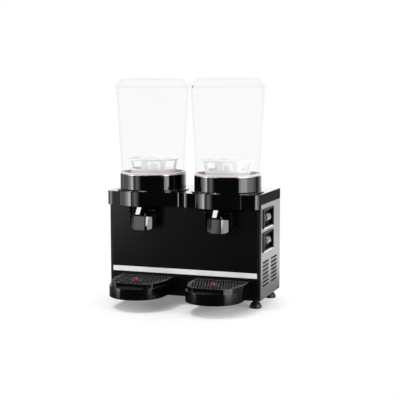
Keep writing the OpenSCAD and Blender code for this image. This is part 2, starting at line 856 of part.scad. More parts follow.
// Point j on ring k of a round wire wound about Z
function coil_point(k, j) = let (a = k * 360 / coil_rings, b = j * 360 / coil_sides,
    r = spring_r + wire_r * cos(b)) [r * cos(a), r * sin(a),
    spring_len * k / (spring_turns * coil_rings) + wire_r * sin(b)];

// Compression spring that holds the plunger down
module tap_spring(side) {
    n = spring_turns * coil_rings;
    m = coil_sides;
    color("silver") at_tap(side) translate([0, -spout_front, spring_z]) polyhedron(
        points = [for (k = [0 : n]) for (j = [0 : m - 1]) coil_point(k, j)],
        faces = concat(
            [for (k = [0 : n - 1]) for (j = [0 : m - 1]) [k * m + j, (k + 1) * m + j, k * m + (j + 1) % m]],
            [for (k = [0 : n - 1]) for (j = [0 : m - 1])
                [(k + 1) * m + j, (k + 1) * m + (j + 1) % m, k * m + (j + 1) % m]],
            [for (j = [1 : m - 2]) [0, j, j + 1]],
            [for (j = [1 : m - 2]) [n * m, n * m + j + 1, n * m + j]]));
}

// Plan of a tray's lower tier, drawn in by inset
module tray_plan(inset) {
    r = tray_r - inset;
    y = tray_reach - tray_r;
    intersection() {
        translate([0, -y]) circle(r = r);
        translate([-r, -y - r]) square([2 * r, r]);
    }
    translate([-r, -y]) square([2 * r, y - inset]);
}

// Plan of a tray's upper tier, drawn in by inset
module tier_plan(inset) {
    b = tier_back - inset;
    s = tier_side - inset;
    f = tier_front - inset / 2;
    polygon([[-b, -inset], [-s, -tier_corner], [-f, -tier_reach + inset], [f, -tier_reach + inset],
        [s, -tier_corner], [b, -inset]]);
}

// Black two-tier tray that hangs on the front panel by two tabs
module drip_tray(side) {
    color([0.05, 0.05, 0.05]) at_tap(side) difference() {
        union() {
            translate([0, -seat, tray_z]) linear_extrude(height = tray_low_h) tray_plan(0);
            translate([0, -seat, tier_z - cut]) linear_extrude(height = tray_rim_h + cut) tier_plan(0);
            for (sx = [-1, 1]) translate([sx * tab_x - tab_w / 2, -tray_t, tab_z])
                cube([tab_w, tab_l + tray_t - seat, tab_h]);
        }
        translate([0, -seat, tray_z + tray_t]) linear_extrude(height = grille_z - ledge_h - tray_z - tray_t)
            intersection() {
                tray_plan(tray_t);
                tier_plan(tray_t + ledge_w);
            }
        translate([0, -seat, tray_z + tray_t]) linear_extrude(height = tray_low_h - 2 * tray_t)
            tray_plan(tray_t);
        translate([0, -seat, grille_z - ledge_h - cut]) linear_extrude(height = tray_rim_h + ledge_h + cut)
            tier_plan(tray_t + ledge_w);
        translate([0, -seat, grille_z]) linear_extrude(height = tray_rim_h) tier_plan(tray_t);
    }
}

// Lift-out grille with slanting slots and a hole for the float
module drip_grille(side) {
    border = 5;
    count = ceil((tray_reach + 2 * tier_back) / slot_pitch / 2);
    color([0.08, 0.08, 0.08]) at_tap(side) translate([0, -seat, grille_z + seat])
        linear_extrude(height = grille_t) difference() {
            tier_plan(tray_t + seat);
            difference() {
                intersection() {
                    tier_plan(tray_t + seat + border);
                    translate([0, -float_front]) rotate(45) for (i = [-count : count])
                        translate([i * slot_pitch - slot_w / 2, -tray_reach])
                            square([slot_w, 2 * tray_reach]);
                }
                translate([0, -float_front + seat]) circle(r = float_r + border);
            }
            translate([0, -float_front + seat]) circle(r = float_r + seat);
        }
}

// Red float that shows above the grille when the tray fills
module tray_float(side) {
    z = tray_z + tray_t + seat;
    color("red") at_tap(side) translate([0, -float_front, z]) union() {
        cylinder(r = puck_r, h = puck_h);
        cylinder(r = float_r, h = grille_z + seat + grille_t + float_proud - z);
    }
}

// Origin on a switch pocket's middle, on the side panel's inner face
module at_switch(level) at_front() translate([inner_x, pocket_y, pocket_zs[level]]) children();

// Box centred in Y and Z, from x0 to x1
module switch_box(x0, x1, w, h) translate([x0, -w / 2, -h / 2]) cube([x1 - x0, w, h]);

// Black pocket behind a window in the side panel, with the switch housing
module switch_bezel(level) {
    floor_x = -pocket_depth;
    back_x = floor_x - bezel_t;
    hole_w = rocker_w + 2 * rocker_play;
    hole_h = rocker_h + 2 * rocker_play;
    color("black") at_switch(level) difference() {
        union() {
            switch_box(-bezel_t, 0, pocket_w + 2 * bezel_lap, pocket_h + 2 * bezel_lap);
            switch_box(back_x, sheet_t - seat, pocket_w - 2 * seat, pocket_h - 2 * seat);
            switch_box(back_x - housing_depth, back_x, hole_w + 2 * housing_t, hole_h + 2 * housing_t);
        }
        switch_box(floor_x, sheet_t + cut, pocket_w - 2 * bezel_wall, pocket_h - 2 * bezel_wall);
        switch_box(back_x - housing_depth + housing_t, floor_x + cut, hole_w, hole_h);
        translate([-rocker_axis, 0, 0]) rotate([90, 0, 0])
            cylinder(r = rocker_pin_r + run, h = hole_w + 4 * housing_t, center = true);
    }
}

// Red rocker on its pin, tilted to one side at rest
module switch_rocker(level) {
    h = rocker_h / 2;
    pin_l = rocker_w + 2 * rocker_play + 2 * housing_t;
    color("red") at_switch(level) translate([-rocker_axis, 0, 0]) rotate([0, -rocker_tilt, 0]) union() {
        rotate([90, 0, 0]) linear_extrude(height = rocker_w, center = true)
            polygon([[-rocker_back, -rocker_waist], [rocker_flank, -h], [rocker_tip, -h], [rocker_dip, 0],
                [rocker_tip, h], [rocker_flank, h], [-rocker_back, rocker_waist]]);
        rotate([90, 0, 0]) cylinder(r = rocker_pin_r, h = pin_l, center = true);
    }
}

// Round arch on the pocket floor, drawn in by inset
module boot_form(w, inset) {
    high = pocket_depth + sheet_t + side_proud;
    half = rocker_h / 2 + rocker_play + boot_margin;
    r = (half * half + high * high) / (2 * high);
    intersection() {
        translate([high - pocket_depth - r, 0, 0]) rotate([90, 0, 0])
            cylinder(r = r - inset, h = w - 2 * inset, center = true);
        switch_box(-pocket_depth, high, w, 4 * half);
    }
}

// Clear soft boot over a rocker
module switch_boot(level) {
    w = rocker_w + 2 * rocker_play + 2 * boot_margin;
    color([1, 1, 1, 0.4]) at_switch(level) difference() {
        boot_form(w, 0);
        boot_form(w, boot_t);
    }
}

// Four bell feet with studs
module feet() {
    bell = [for (a = [0 : 15 : 90])
        [foot_neck + (foot_r - foot_neck) * cos(a), foot_band + (foot_bell - foot_band) * sin(a)]];
    color([0.05, 0.05, 0.05]) at_front() for (sx = [-1, 1], y = foot_ys) translate([sx * foot_x, y, 0])
        rotate_extrude() polygon(concat([[0, 0], [foot_r - foot_chamfer, 0], [foot_r, foot_chamfer]], bell,
            [[foot_neck, foot_h], [stud_r, foot_h], [stud_r, foot_h + stud_len], [0, foot_h + stud_len]]));
}

// Lock nuts on the studs, inside the pan
module foot_nuts() {
    color("silver") at_front() for (sx = [-1, 1], y = foot_ys) translate([sx * foot_x, y, pan_top])
        difference() {
            cylinder(r = nut_r, h = nut_h, $fn = 6);
            translate([0, 0, -cut]) cylinder(r = stud_r + run, h = nut_h + 2 * cut);
        }
}

// Hermetic compressor on its foot plate
module compressor() {
    plate = [2 * comp_r + comp_ears, 2 * comp_r - comp_ears, comp_plate_t];
    color([0.1, 0.1, 0.1]) at_front() translate([-comp_x, comp_y, pan_top]) union() {
        translate([-plate[0] / 2, -plate[1] / 2, 0]) cube(plate);
        translate([0, 0, comp_plate_t]) cylinder(r = comp_r, h = comp_h);
    }
}

// Finned condenser beside the fan
module condenser() {
    fins = floor((cond_l - fin_t) / fin_pitch);
    color("silver") at_front() translate([cond_x, cond_y, pan_top]) difference() {
        cube([cond_w, cond_l, cond_h]);
        for (i = [0 : fins - 1]) translate([-cut, fin_t + i * fin_pitch, fin_edge])
            cube([cond_w + 2 * cut, fin_pitch - fin_t, cond_h - 2 * fin_edge]);
    }
}

// Fan motor on a bracket fixed to the condenser
module fan_motor() {
    bar = [bracket_l / 2, 2 * fan_r, bracket_h];
    foot = [bracket_l, bracket_h / 2, bracket_h];
    color("dimgray") at_front() translate([fan_motor_x, fan_y, fan_z]) difference() {
        union() {
            rotate([0, 90, 0]) cylinder(r = fan_motor_r, h = fan_motor_l);
            translate([-bar[0], -bar[1] / 2, -bar[2] / 2]) cube(bar);
            for (sy = [-1, 1]) translate([-foot[0], sy * (fan_r - foot[1] / 2) - foot[1] / 2, -foot[2] / 2])
                cube(foot);
        }
        translate([fan_motor_l / 2, 0, 0]) rotate([0, 90, 0])
            cylinder(r = fan_shaft_r + run, h = fan_motor_l);
    }
}

// Fan wheel with flat pitched blades and its shaft
module fan_blade() {
    chord = (fan_depth - 2 * blade_play) / sin(blade_pitch);
    color("dimgray") at_front() translate([fan_x, fan_y, fan_z]) rotate([0, 90, 0]) union() {
        cylinder(r = fan_hub_r, h = fan_depth);
        translate([0, 0, -motor_gap - fan_motor_l / 2 + seat])
            cylinder(r = fan_shaft_r, h = motor_gap + fan_motor_l / 2);
        for (i = [0 : fan_blades - 1]) rotate([0, 0, i * 360 / fan_blades])
            translate([fan_hub_r - blade_t, 0, fan_depth / 2]) rotate([blade_pitch, 0, 0])
                translate([0, -chord / 2, -blade_t / 2]) cube([fan_r - fan_hub_r, chord, blade_t]);
    }
}

// Straight pipe between two points that differ along one axis
module pipe(a, b) {
    d = b - a;
    turn = abs(d[0]) > 0 ? [0, 90, 0] : abs(d[1]) > 0 ? [-90, 0, 0] : [0, 0, 0];
    start = (d[0] + d[1] + d[2]) > 0 ? a : b;
    translate(start) rotate(turn) cylinder(r = pipe_r, h = norm(d));
}

// Copper pipes from the compressor to the condenser and up to both dishes
module refrigerant_pipes() {
    out_x = -comp_x + port_step;
    in_x = cond_x + cond_w / 2;
    low_y = comp_y - port_step;
    color([0.72, 0.45, 0.2]) at_front() {
        union() {
            pipe([out_x, low_y, comp_top], [out_x, low_y, discharge_z]);
            pipe([out_x, low_y, discharge_z], [in_x, low_y, discharge_z]);
            pipe([in_x, low_y, cond_top], [in_x, low_y, discharge_z]);
            for (x = [out_x, in_x]) translate([x, low_y, discharge_z]) sphere(r = pipe_r);
        }
        union() {
            pipe([-well_x, riser_y, comp_top], [-well_x, riser_y, dish_z]);
            pipe([-well_x, riser_y, header_z], [in_x, riser_y, header_z]);
            pipe([in_x, riser_y, cond_top], [in_x, riser_y, header_z]);
            pipe([well_x, riser_y, header_z], [well_x, riser_y, dish_z]);
            for (x = [in_x, well_x]) translate([x, riser_y, header_z]) sphere(r = pipe_r);
        }
    }
}

// Mains inlet socket in the rear panel
module power_inlet() {
    f = inlet_flange;
    w = inlet_wall;
    p = inlet_pin;
    color("black") at_front() translate([inlet_x, rear_plane, inlet_z]) {
        difference() {
            union() {
                translate([-f[0] / 2, 0, -f[1] / 2]) cube([f[0], f[2], f[1]]);
                translate([-inlet_w / 2, -inlet_depth, -inlet_h / 2])
                    cube([inlet_w, inlet_depth + cut, inlet_h]);
            }
            translate([-inlet_w / 2 + w, -inlet_depth + w, -inlet_h / 2 + w])
                cube([inlet_w - 2 * w, inlet_depth + f[2] + cut, inlet_h - 2 * w]);
        }
        for (i = [-1, 0, 1])
            translate([i * inlet_pin_x - p[0] / 2, -inlet_depth + w, p[0] / 2 - abs(i) * p[2]]) cube(p);
    }
}

// Screw along Z, with its head's seat on Z 0
module screw() union() {
    cylinder(r = screw_head_r, h = side_proud);
    translate([0, 0, -screw_l]) cylinder(r = screw_r, h = screw_l + cut);
}

// Screws that hold the side panels and the rear panel
module case_screws() {
    color("silver") at_front() for (sx = [-1, 1]) {
        for (y = side_screw_ys) translate([sx * half_w, y, side_screw_z]) rotate([0, sx * 90, 0]) screw();
        for (z = rear_screw_zs) translate([sx * rear_screw_x, rear_plane, z]) rotate([-90, 0, 0]) screw();
    }
}

base_pan();
front_post(-1);  // front_post_left
front_post(1);  // front_post_right
frame_rail(case_top - rail_h);  // frame_rail_top
frame_rail(base_z);  // frame_rail_bottom
front_panel();
trim_strip();
side_panel(1, true);  // side_panel_right
side_panel(-1, false);  // side_panel_left
rear_panel();
top_deck();
collar(-1);  // collar_left
collar(1);  // collar_right
insulation(-1);  // insulation_left
insulation(1);  // insulation_right
evaporator(-1);  // evaporator_left
evaporator(1);  // evaporator_right
agitator(-1);  // agitator_left
agitator(1);  // agitator_right
drive_magnet(-1);  // drive_magnet_left
drive_magnet(1);  // drive_magnet_right
stirrer_motor(-1);  // stirrer_motor_left
stirrer_motor(1);  // stirrer_motor_right
bowl_seal(-1);  // bowl_seal_left
bowl_seal(1);  // bowl_seal_right
bowl(-1);  // bowl_left
bowl(1);  // bowl_right
lid(-1);  // lid_left
lid(1);  // lid_right
tap_body(-1);  // tap_body_left
tap_body(1);  // tap_body_right
tap_lever(-1);  // tap_lever_left
tap_lever(1);  // tap_lever_right
tap_pins(-1);  // tap_pins_left
tap_pins(1);  // tap_pins_right
tap_plunger(-1);  // tap_plunger_left
tap_plunger(1);  // tap_plunger_right
tap_spring(-1);  // tap_spring_left
tap_spring(1);  // tap_spring_right
drip_tray(-1);  // drip_tray_left
drip_tray(1);  // drip_tray_right
drip_grille(-1);  // drip_grille_left
drip_grille(1);  // drip_grille_right
tray_float(-1);  // tray_float_left
tray_float(1);  // tray_float_right
switch_bezel(1);  // switch_bezel_upper
switch_bezel(0);  // switch_bezel_lower
switch_rocker(1);  // switch_rocker_upper
switch_rocker(0);  // switch_rocker_lower
switch_boot(1);  // switch_boot_upper
switch_boot(0);  // switch_boot_lower
feet();
foot_nuts();
compressor();
condenser();
fan_motor();
fan_blade();
refrigerant_pipes();
power_inlet();
case_screws();
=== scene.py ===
import math

import bmesh
import bpy
from mathutils import Matrix, Vector


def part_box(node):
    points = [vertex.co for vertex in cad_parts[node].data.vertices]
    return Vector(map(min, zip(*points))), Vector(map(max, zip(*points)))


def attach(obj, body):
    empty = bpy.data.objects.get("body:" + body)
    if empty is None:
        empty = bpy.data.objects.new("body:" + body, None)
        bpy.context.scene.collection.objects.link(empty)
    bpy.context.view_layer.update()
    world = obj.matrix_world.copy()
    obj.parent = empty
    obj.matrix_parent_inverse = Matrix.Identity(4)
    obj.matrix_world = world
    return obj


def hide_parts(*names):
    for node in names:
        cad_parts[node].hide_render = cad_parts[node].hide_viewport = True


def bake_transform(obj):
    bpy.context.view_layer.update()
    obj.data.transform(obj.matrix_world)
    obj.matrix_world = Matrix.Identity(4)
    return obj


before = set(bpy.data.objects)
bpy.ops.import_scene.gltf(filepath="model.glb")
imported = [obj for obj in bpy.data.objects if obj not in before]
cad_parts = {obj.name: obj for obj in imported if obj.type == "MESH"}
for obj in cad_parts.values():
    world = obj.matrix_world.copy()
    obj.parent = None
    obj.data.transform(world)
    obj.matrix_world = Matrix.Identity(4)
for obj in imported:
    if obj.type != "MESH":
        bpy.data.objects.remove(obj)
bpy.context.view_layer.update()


# Feet: four black moulded bells with a slim neck on a steel stud.
# Each is turned from one outline and screwed up through the base pan,
# so the cabinet stands clear of the counter and can be levelled.
mm = 0.001
front_face = -25.35
foot_x = 181
foot_rows = (25, 158)
foot_places = [(x, front_face + y, 0) for x in (-foot_x, foot_x) for y in foot_rows]
foot_outline = [(0, 0.6), (11, 0.6), (12, 0, 0.3), (14, 0, 0.6), (15, 1.2, 0.8), (15, 4, 3),
                (13.2, 10, 4), (9, 14.4, 3), (6, 16.6, 1.6), (6, 22, 0.4), (4, 22), (4, 44, 0.6), (0, 44)]


def rounded(outline, steps=5):
    """Round the corners of a drawn outline: a third number on a point is its corner's radius."""
    drawn = []
    count = len(outline)
    for i, corner in enumerate(outline):
        here = Vector(corner[:2])
        radius = corner[2] if len(corner) > 2 else 0
        if not radius:
            drawn.append(here)
            continue
        back = Vector(outline[i - 1][:2]) - here
        ahead = Vector(outline[(i + 1) % count][:2]) - here
        reach = min(radius / math.tan(back.angle(ahead) / 2), 0.48 * back.length, 0.48 * ahead.length)
        start = here + back.normalized() * reach
        end = here + ahead.normalized() * reach
        for k in range(steps + 1):
            t = k / steps
            drawn.append(start * (1 - t) ** 2 + here * 2 * t * (1 - t) + end * t * t)
    return drawn


def turned(outline, x=0.0, y=0.0, steps=96, closed=False):
    """Spin a radius and height outline about the upright line through x, y."""
    shape = bmesh.new()
    points = [shape.verts.new((p[0] * mm, 0, p[1] * mm)) for p in outline]
    edges = [shape.edges.new(pair) for pair in zip(points, points[1:])]
    if closed:
        edges.append(shape.edges.new((points[-1], points[0])))
    bmesh.ops.spin(shape, geom=points + edges, cent=(0, 0, 0), axis=(0, 0, 1), angle=2 * math.pi,
                   steps=steps, use_merge=True)
    bmesh.ops.remove_doubles(shape, verts=shape.verts, dist=1e-6)
    bmesh.ops.recalc_face_normals(shape, faces=shape.faces)
    bmesh.ops.translate(shape, verts=shape.verts, vec=(x * mm, y * mm, 0))
    return shape


def repeated(shape, places):
    """Set the shape at the first place and a copy of it at each other place."""
    first = shape.verts[:] + shape.edges[:] + shape.faces[:]
    for place in places[1:]:
        copy = bmesh.ops.duplicate(shape, geom=first)["geom"]
        moved = [v for v in copy if isinstance(v, bmesh.types.BMVert)]
        bmesh.ops.translate(shape, verts=moved, vec=Vector(place) * mm)
    moved = [v for v in first if isinstance(v, bmesh.types.BMVert)]
    bmesh.ops.translate(shape, verts=moved, vec=Vector(places[0]) * mm)
    return shape


def finish(name, colour, roughness, metal=0.0, mottle=0.06, cloud=14.0, grain=700.0, depth=0.05,
           uneven=0.12, stretch=(1, 1, 1)):
    """A painted, moulded or rolled surface: slight clouds of tone, uneven polish and a fine grain."""
    material = bpy.data.materials.new(name)
    material.use_nodes = True
    nodes = material.node_tree.nodes
    links = material.node_tree.links
    shader = nodes["Principled BSDF"]
    shader.inputs["Metallic"].default_value = metal
    place = nodes.new("ShaderNodeTexCoord")
    drawn = nodes.new("ShaderNodeMapping")
    drawn.inputs["Scale"].default_value = stretch
    links.new(place.outputs["Object"], drawn.inputs["Vector"])
    clouds = nodes.new("ShaderNodeTexNoise")
    clouds.inputs["Scale"].default_value = cloud
    clouds.inputs["Detail"].default_value = 4
    links.new(drawn.outputs["Vector"], clouds.inputs["Vector"])
    fine = nodes.new("ShaderNodeTexNoise")
    fine.inputs["Scale"].default_value = grain
    fine.inputs["Detail"].default_value = 2
    links.new(drawn.outputs["Vector"], fine.inputs["Vector"])
    tone = nodes.new("ShaderNodeMix")
    tone.data_type = "RGBA"
    tone.inputs["A"].default_value = [c * (1 - mottle) for c in colour] + [1]
    tone.inputs["B"].default_value = [min(1, c * (1 + mottle)) for c in colour] + [1]
    links.new(clouds.outputs["Fac"], tone.inputs["Factor"])
    links.new(tone.outputs["Result"], shader.inputs["Base Color"])
    polish = nodes.new("ShaderNodeMapRange")
    polish.inputs["To Min"].default_value = roughness * (1 - uneven)
    polish.inputs["To Max"].default_value = roughness * (1 + uneven)
    links.new(fine.outputs["Fac"], polish.inputs["Value"])
    links.new(polish.outputs["Result"], shader.inputs["Roughness"])
    relief = nodes.new("ShaderNodeBump")
    relief.inputs["Strength"].default_value = depth
    relief.inputs["Distance"].default_value = 0.2 * mm
    links.new(fine.outputs["Fac"], relief.inputs["Height"])
    links.new(relief.outputs["Normal"], shader.inputs["Normal"])
    return material


def piece(name, shape, body, slot, material, *nodes):
    """Make a piece of a finished shape: it rides on its body, if one is given, and stands for its nodes."""
    mesh = bpy.data.meshes.new(name)
    shape.to_mesh(mesh)
    shape.free()
    mesh.shade_smooth()
    mesh.set_sharp_from_angle(angle=math.radians(34))
    mesh.materials.append(material)
    made = bpy.data.objects.new(name, mesh)
    bpy.context.scene.collection.objects.link(made)
    weigh = made.modifiers.new("even_shading", "WEIGHTED_NORMAL")
    weigh.keep_sharp = True
    if body:
        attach(made, body)
    if nodes:
        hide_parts(*nodes)
    return made


foot_black = finish("foot_black", (0.006, 0.006, 0.0065), 0.5, depth=0.08)
feet = repeated(turned(rounded(foot_outline), steps=64), foot_places)
piece("feet", feet, "cabinet", "foot_black", foot_black, "feet")


# Base pan and lock nuts: a grey coated sheet folded up at its four edges,
# with a hexagon nut on each foot's stud inside it.
# The edges of the folds and of the holes are eased.
def soften(shape, width, segments=3, least=30, spared=0.0):
    """Round every edge that is sharper than the least angle, sparing a strip along the middle."""
    sharp = [e for e in shape.edges
             if len(e.link_faces) == 2 and e.calc_face_angle(0) > math.radians(least)
             and max(abs(v.co.x) for v in e.verts) >= spared * mm]
    bmesh.ops.bevel(shape, geom=sharp, offset=width * mm, offset_type="OFFSET", affect="EDGES",
                    segments=segments, profile=0.5, material=-1, clamp_overlap=True)
    return shape


def eased(node, width, segments=2, least=30):
    """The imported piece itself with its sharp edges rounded."""
    shape = bmesh.new()
    shape.from_mesh(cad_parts[node].data)
    bmesh.ops.remove_doubles(shape, verts=shape.verts, dist=2e-6)
    bmesh.ops.dissolve_limit(shape, angle_limit=math.radians(0.6), verts=shape.verts, edges=shape.edges)
    return soften(shape, width, segments, least)


pan_grey = finish("pan_grey", (0.28, 0.28, 0.29), 0.42, mottle=0.05, grain=900, depth=0.12)
steel = finish("steel", (0.62, 0.62, 0.63), 0.24, metal=1.0, mottle=0.05, depth=0.04)
piece("base_pan", eased("base_pan", 0.6), "cabinet", "pan_grey", pan_grey, "base_pan")
piece("foot_nuts", eased("foot_nuts", 0.5), "cabinet", "steel", steel, "foot_nuts")


# Posts and rails: black painted box sections that frame the front panel.
# The posts show as a narrow black edge at each side of the front,
# the rails run behind the panel and carry it.
def block(low, high, edge):
    """A squared bar between two corners, with its edges eased."""
    shape = bmesh.new()
    bmesh.ops.create_cube(shape, size=1)
    low = Vector(low) * mm
    high = Vector(high) * mm
    bmesh.ops.scale(shape, verts=shape.verts, vec=high - low)
    bmesh.ops.translate(shape, verts=shape.verts, vec=(low + high) / 2)
    return soften(shape, edge)


frame_black = finish("frame_black", (0.003, 0.003, 0.0035), 0.35, depth=0.1)
case_low, case_high, case_deep = 22, 258, 183
post_inner, post_outer, post_deep = 191.6, 198.4, 12
rail_half, rail_tall, rail_set_back = 191.5, 12, 1.5
for side in ("left", "right"):
    sign = -1 if side == "left" else 1
    across = sorted((sign * post_inner, sign * post_outer))
    post = block((across[0], front_face, case_low), (across[1], front_face + post_deep, case_high), 0.4)
    piece("front_post_" + side, post, "cabinet", "frame_black", frame_black, "front_post_" + side)
for level, low in (("top", case_high - rail_tall), ("bottom", case_low)):
    rail = block((-rail_half, front_face + rail_set_back, low),
                 (rail_half, front_face + post_deep, low + rail_tall), 0.8)
    piece("frame_rail_" + level, rail, "cabinet", "frame_black", frame_black, "frame_rail_" + level)


# Front panel: one flat sheet, satin black, that fills the front between the posts.
# Four slots near its lower edge take the tabs of the drip trays.
# Its edges are broken so that a fine line shows against the posts.
def windowed(low, high, windows, thickness, edge):
    """A flat sheet with its windows cut out, drawn across and up, thick towards the viewer."""
    shape = bmesh.new()
    corners = ((low[0], low[1]), (high[0], low[1]), (high[0], high[1]), (low[0], high[1]))
    shape.faces.new([shape.verts.new((u * mm, v * mm, 0)) for u, v in corners])
    for axis in (0, 1):
        for place in sorted({w[k] for w in windows for k in (axis, axis + 2)}):
            point = [0, 0, 0]
            point[axis] = place * mm
            square = [0, 0, 0]
            square[axis] = 1
            bmesh.ops.bisect_plane(shape, geom=shape.verts[:] + shape.edges[:] + shape.faces[:],
                                   dist=1e-7, plane_co=point, plane_no=square)
    gone = []
    for face in shape.faces:
        u, v = face.calc_center_median().xy / mm
        if any(w[0] < u < w[2] and w[1] < v < w[3] for w in windows):
            gone.append(face)
    bmesh.ops.delete(shape, geom=gone, context="FACES")
    raised = bmesh.ops.extrude_face_region(shape, geom=shape.faces[:])["geom"]
    bmesh.ops.translate(shape, verts=[v for v in raised if isinstance(v, bmesh.types.BMVert)],
                        vec=(0, 0, thickness * mm))
    bmesh.ops.recalc_face_normals(shape, faces=shape.faces)
    return soften(shape, edge, segments=2)


def stood(shape, across, outward, origin):
    """Stand a flat shape upright: its first axis along across, its second up, its third outward."""
    turn = Matrix((Vector(across), Vector((0, 0, 1)), Vector(outward))).transposed().to_4x4()
    bmesh.ops.transform(shape, matrix=Matrix.Translation(Vector(origin) * mm) @ turn, verts=shape.verts)
    return shape


panel_black = finish("panel_black", (0.0026, 0.0025, 0.0028), 0.25, mottle=0.1, cloud=9, grain=1100,
                     depth=0.08)
sheet = 1.5
panel_half = 191.2
wells = {"left": -100, "right": 100}
tray_tabs = (-40, 40)
tab_slot_half, tab_slot_low, tab_slot_high = 12.4, 42.6, 52.4
tab_slots = [(well + tab - tab_slot_half, tab_slot_low, well + tab + tab_slot_half, tab_slot_high)
             for well in wells.values() for tab in tray_tabs]
panel = windowed((-panel_half, case_low), (panel_half, case_high), tab_slots, sheet, 0.3)
stood(panel, (1, 0, 0), (0, -1, 0), (0, front_face + sheet, 0))
piece("front_panel", panel, "cabinet", "panel_black", panel_black, "front_panel")


# Trim strip: a bare aluminium flat bar with a fine brushed grain along it.
# It is glued across the front panel above the drip trays, and it carries nothing.
strip_aluminium = finish("strip_aluminium", (0.97, 0.96, 0.97), 0.5, mottle=0.03, cloud=30,
                         grain=160, depth=0.05, uneven=0.2, stretch=(0.04, 1, 6))
strip_half, strip_low, strip_high, strip_thick = 191.3, 77.6, 90.4, 1
strip = block((-strip_half, front_face - strip_thick, strip_low), (strip_half, front_face, strip_high), 0.3)
piece("trim_strip", strip, "cabinet", "strip_aluminium", strip_aluminium, "trim_strip")


# Side panels: silver grey painted sheets, folded in at the rear edge.
# Two columns of seven louvres are pressed out of each sheet, with a lip under every slot,
# and the right one has two windows for the switches, each over a sill painted near-white as a highlight.
def joined(shape, other):
    """Add another shape to this one."""
    carrier = bpy.data.meshes.new("carrier")
    other.to_mesh(carrier)
    other.free()
    shape.from_mesh(carrier)
    bpy.data.meshes.remove(carrier)
    return shape


def pressed_lip(length, drop, proud):
    """A lip pressed out of a sheet that faces +X: full in the middle, fading out at both ends."""
    shape = bmesh.new()
    section = [(-0.3, -0.1), (0.55, 0.12), (1, -0.1), (0.9, -0.45), (0.5, -0.8), (-0.3, -1)]
    steps = 16
    face = shape.faces.new([shape.verts.new((x * proud * mm, 0, z * drop * mm)) for x, z in section])
    for v in face.verts:
        v.co.x *= 0.2 if v.co.x > 0 else 1
    for k in range(1, steps + 1):
        grown = bmesh.ops.extrude_face_region(shape, geom=[face])["geom"]
        bmesh.ops.delete(shape, geom=[face], context="FACES_ONLY")
        face = [f for f in grown if isinstance(f, bmesh.types.BMFace)][0]
        bulge = max(0.2, math.sin(math.pi * k / steps) ** 0.4)
        for v, (x, z) in zip(face.verts, section):
            v.co = Vector(((x * bulge if x > 0 else x) * proud, length * k / steps, z * drop)) * mm
    bmesh.ops.holes_fill(shape, edges=shape.edges, sides=0)
    bmesh.ops.recalc_face_normals(shape, faces=shape.faces)
    return shape


side_silver = finish("side_silver", (0.27, 0.258, 0.278), 0.32, metal=0.45, mottle=0.05, cloud=8,
                     grain=1600, depth=0.1)
half_wide = 200
slot_tall, slot_pitch = 4, 9.8
lip_drop, lip_proud = 4.4, 1.5
louvre_columns = ((20, 56), (97, 58))
louvre_heights = [52.5 + slot_pitch * i for i in range(7)]
switch_heights = {"lower": 162.5, "upper": 220.5}
window_front, window_rear, window_half = 22, 110, 22.5
skin_set_back = 5
flange_inner, flange_outer, flange_back = 183.5, 199, 176.5
for side in ("left", "right"):
    slots = [(front_face + y, z, front_face + y + length, z + slot_tall)
             for y, length in louvre_columns for z in louvre_heights]
    if side == "right":
        slots += [(front_face + window_front, z - window_half, front_face + window_rear, z + window_half)
                  for z in switch_heights.values()]
    skin = windowed((front_face + skin_set_back, case_low), (front_face + case_deep, case_high), slots,
                    sheet, 0.45)
    stood(skin, (0, 1, 0), (1, 0, 0), (half_wide - sheet, 0, 0))
    for y, length in louvre_columns:
        lip = pressed_lip(length - 2, lip_drop, lip_proud)
        joined(skin, repeated(lip, [(half_wide, front_face + y + 1, z) for z in louvre_heights]))
    joined(skin, block((flange_inner, front_face + flange_back - sheet, case_low),
                       (flange_outer, front_face + flange_back, case_high), 0.4))
    if side == "left":
        bmesh.ops.scale(skin, verts=skin.verts, vec=(-1, 1, 1))
        bmesh.ops.reverse_faces(skin, faces=skin.faces)
    piece("side_panel_" + side, skin, "cabinet", "side_silver", side_silver, "side_panel_" + side)
# Near-white sloped sills below the switch windows: a painted highlight along each window's lower edge.
sill_painted_highlight = finish("sill_painted_highlight", (0.95, 0.94, 0.95), 0.3, mottle=0.03, grain=900, depth=0.05)
sill_thick, sill_long, sill_tall, sill_slope = 1.8, 86, 2.4, 1.5
sill_places = [(200.6, front_face + 69, z - 23.8) for z in switch_heights.values()]
sill = bmesh.new()
bmesh.ops.create_cube(sill, size=1)
bmesh.ops.scale(sill, verts=sill.verts, vec=Vector((sill_thick, sill_long, sill_tall)) * mm)
outer_top = [v for v in sill.verts if v.co.x > 0 and v.co.z > 0]
bmesh.ops.translate(sill, verts=outer_top, vec=(-sill_slope * mm, 0, 0))
soften(sill, 0.25, segments=2)
repeated(sill, sill_places)
piece("switch_sills", sill, "cabinet", "strip_aluminium", sill_painted_highlight)


# Rear panel and mains inlet: a grey coated sheet screwed to the flanges of the side panels.
# It has two columns of pressed vents for the warm air of the cooling unit,
# and a black moulded inlet with three blades, riveted into a window.
rear_half = 198.3
vent_columns = (-67.5, 67.5)
vent_half = 45
vent_heights = [140 + slot_pitch * i for i in range(8)]
vents = [(x - vent_half, z, x + vent_half, z + slot_tall) for x in vent_columns for z in vent_heights]
inlet_window = (106.2, 51.7, 133.8, 72.3)
rear = windowed((-rear_half, case_low), (rear_half, case_high), vents + [inlet_window], sheet, 0.4)
stood(rear, (-1, 0, 0), (0, 1, 0), (0, front_face + flange_back, 0))
for x in vent_columns:
    lip = pressed_lip(2 * vent_half - 2, lip_drop, lip_proud)
    bmesh.ops.rotate(lip, verts=lip.verts, cent=(0, 0, 0), matrix=Matrix.Rotation(math.pi / 2, 3, "Z"))
    joined(rear, repeated(lip, [(x + vent_half - 1, front_face + flange_back + sheet, z)
                                for z in vent_heights]))
piece("rear_panel", rear, "cabinet", "pan_grey", pan_grey, "rear_panel")
inlet_black = finish("inlet_black", (0.014, 0.014, 0.014), 0.45, depth=0.15)
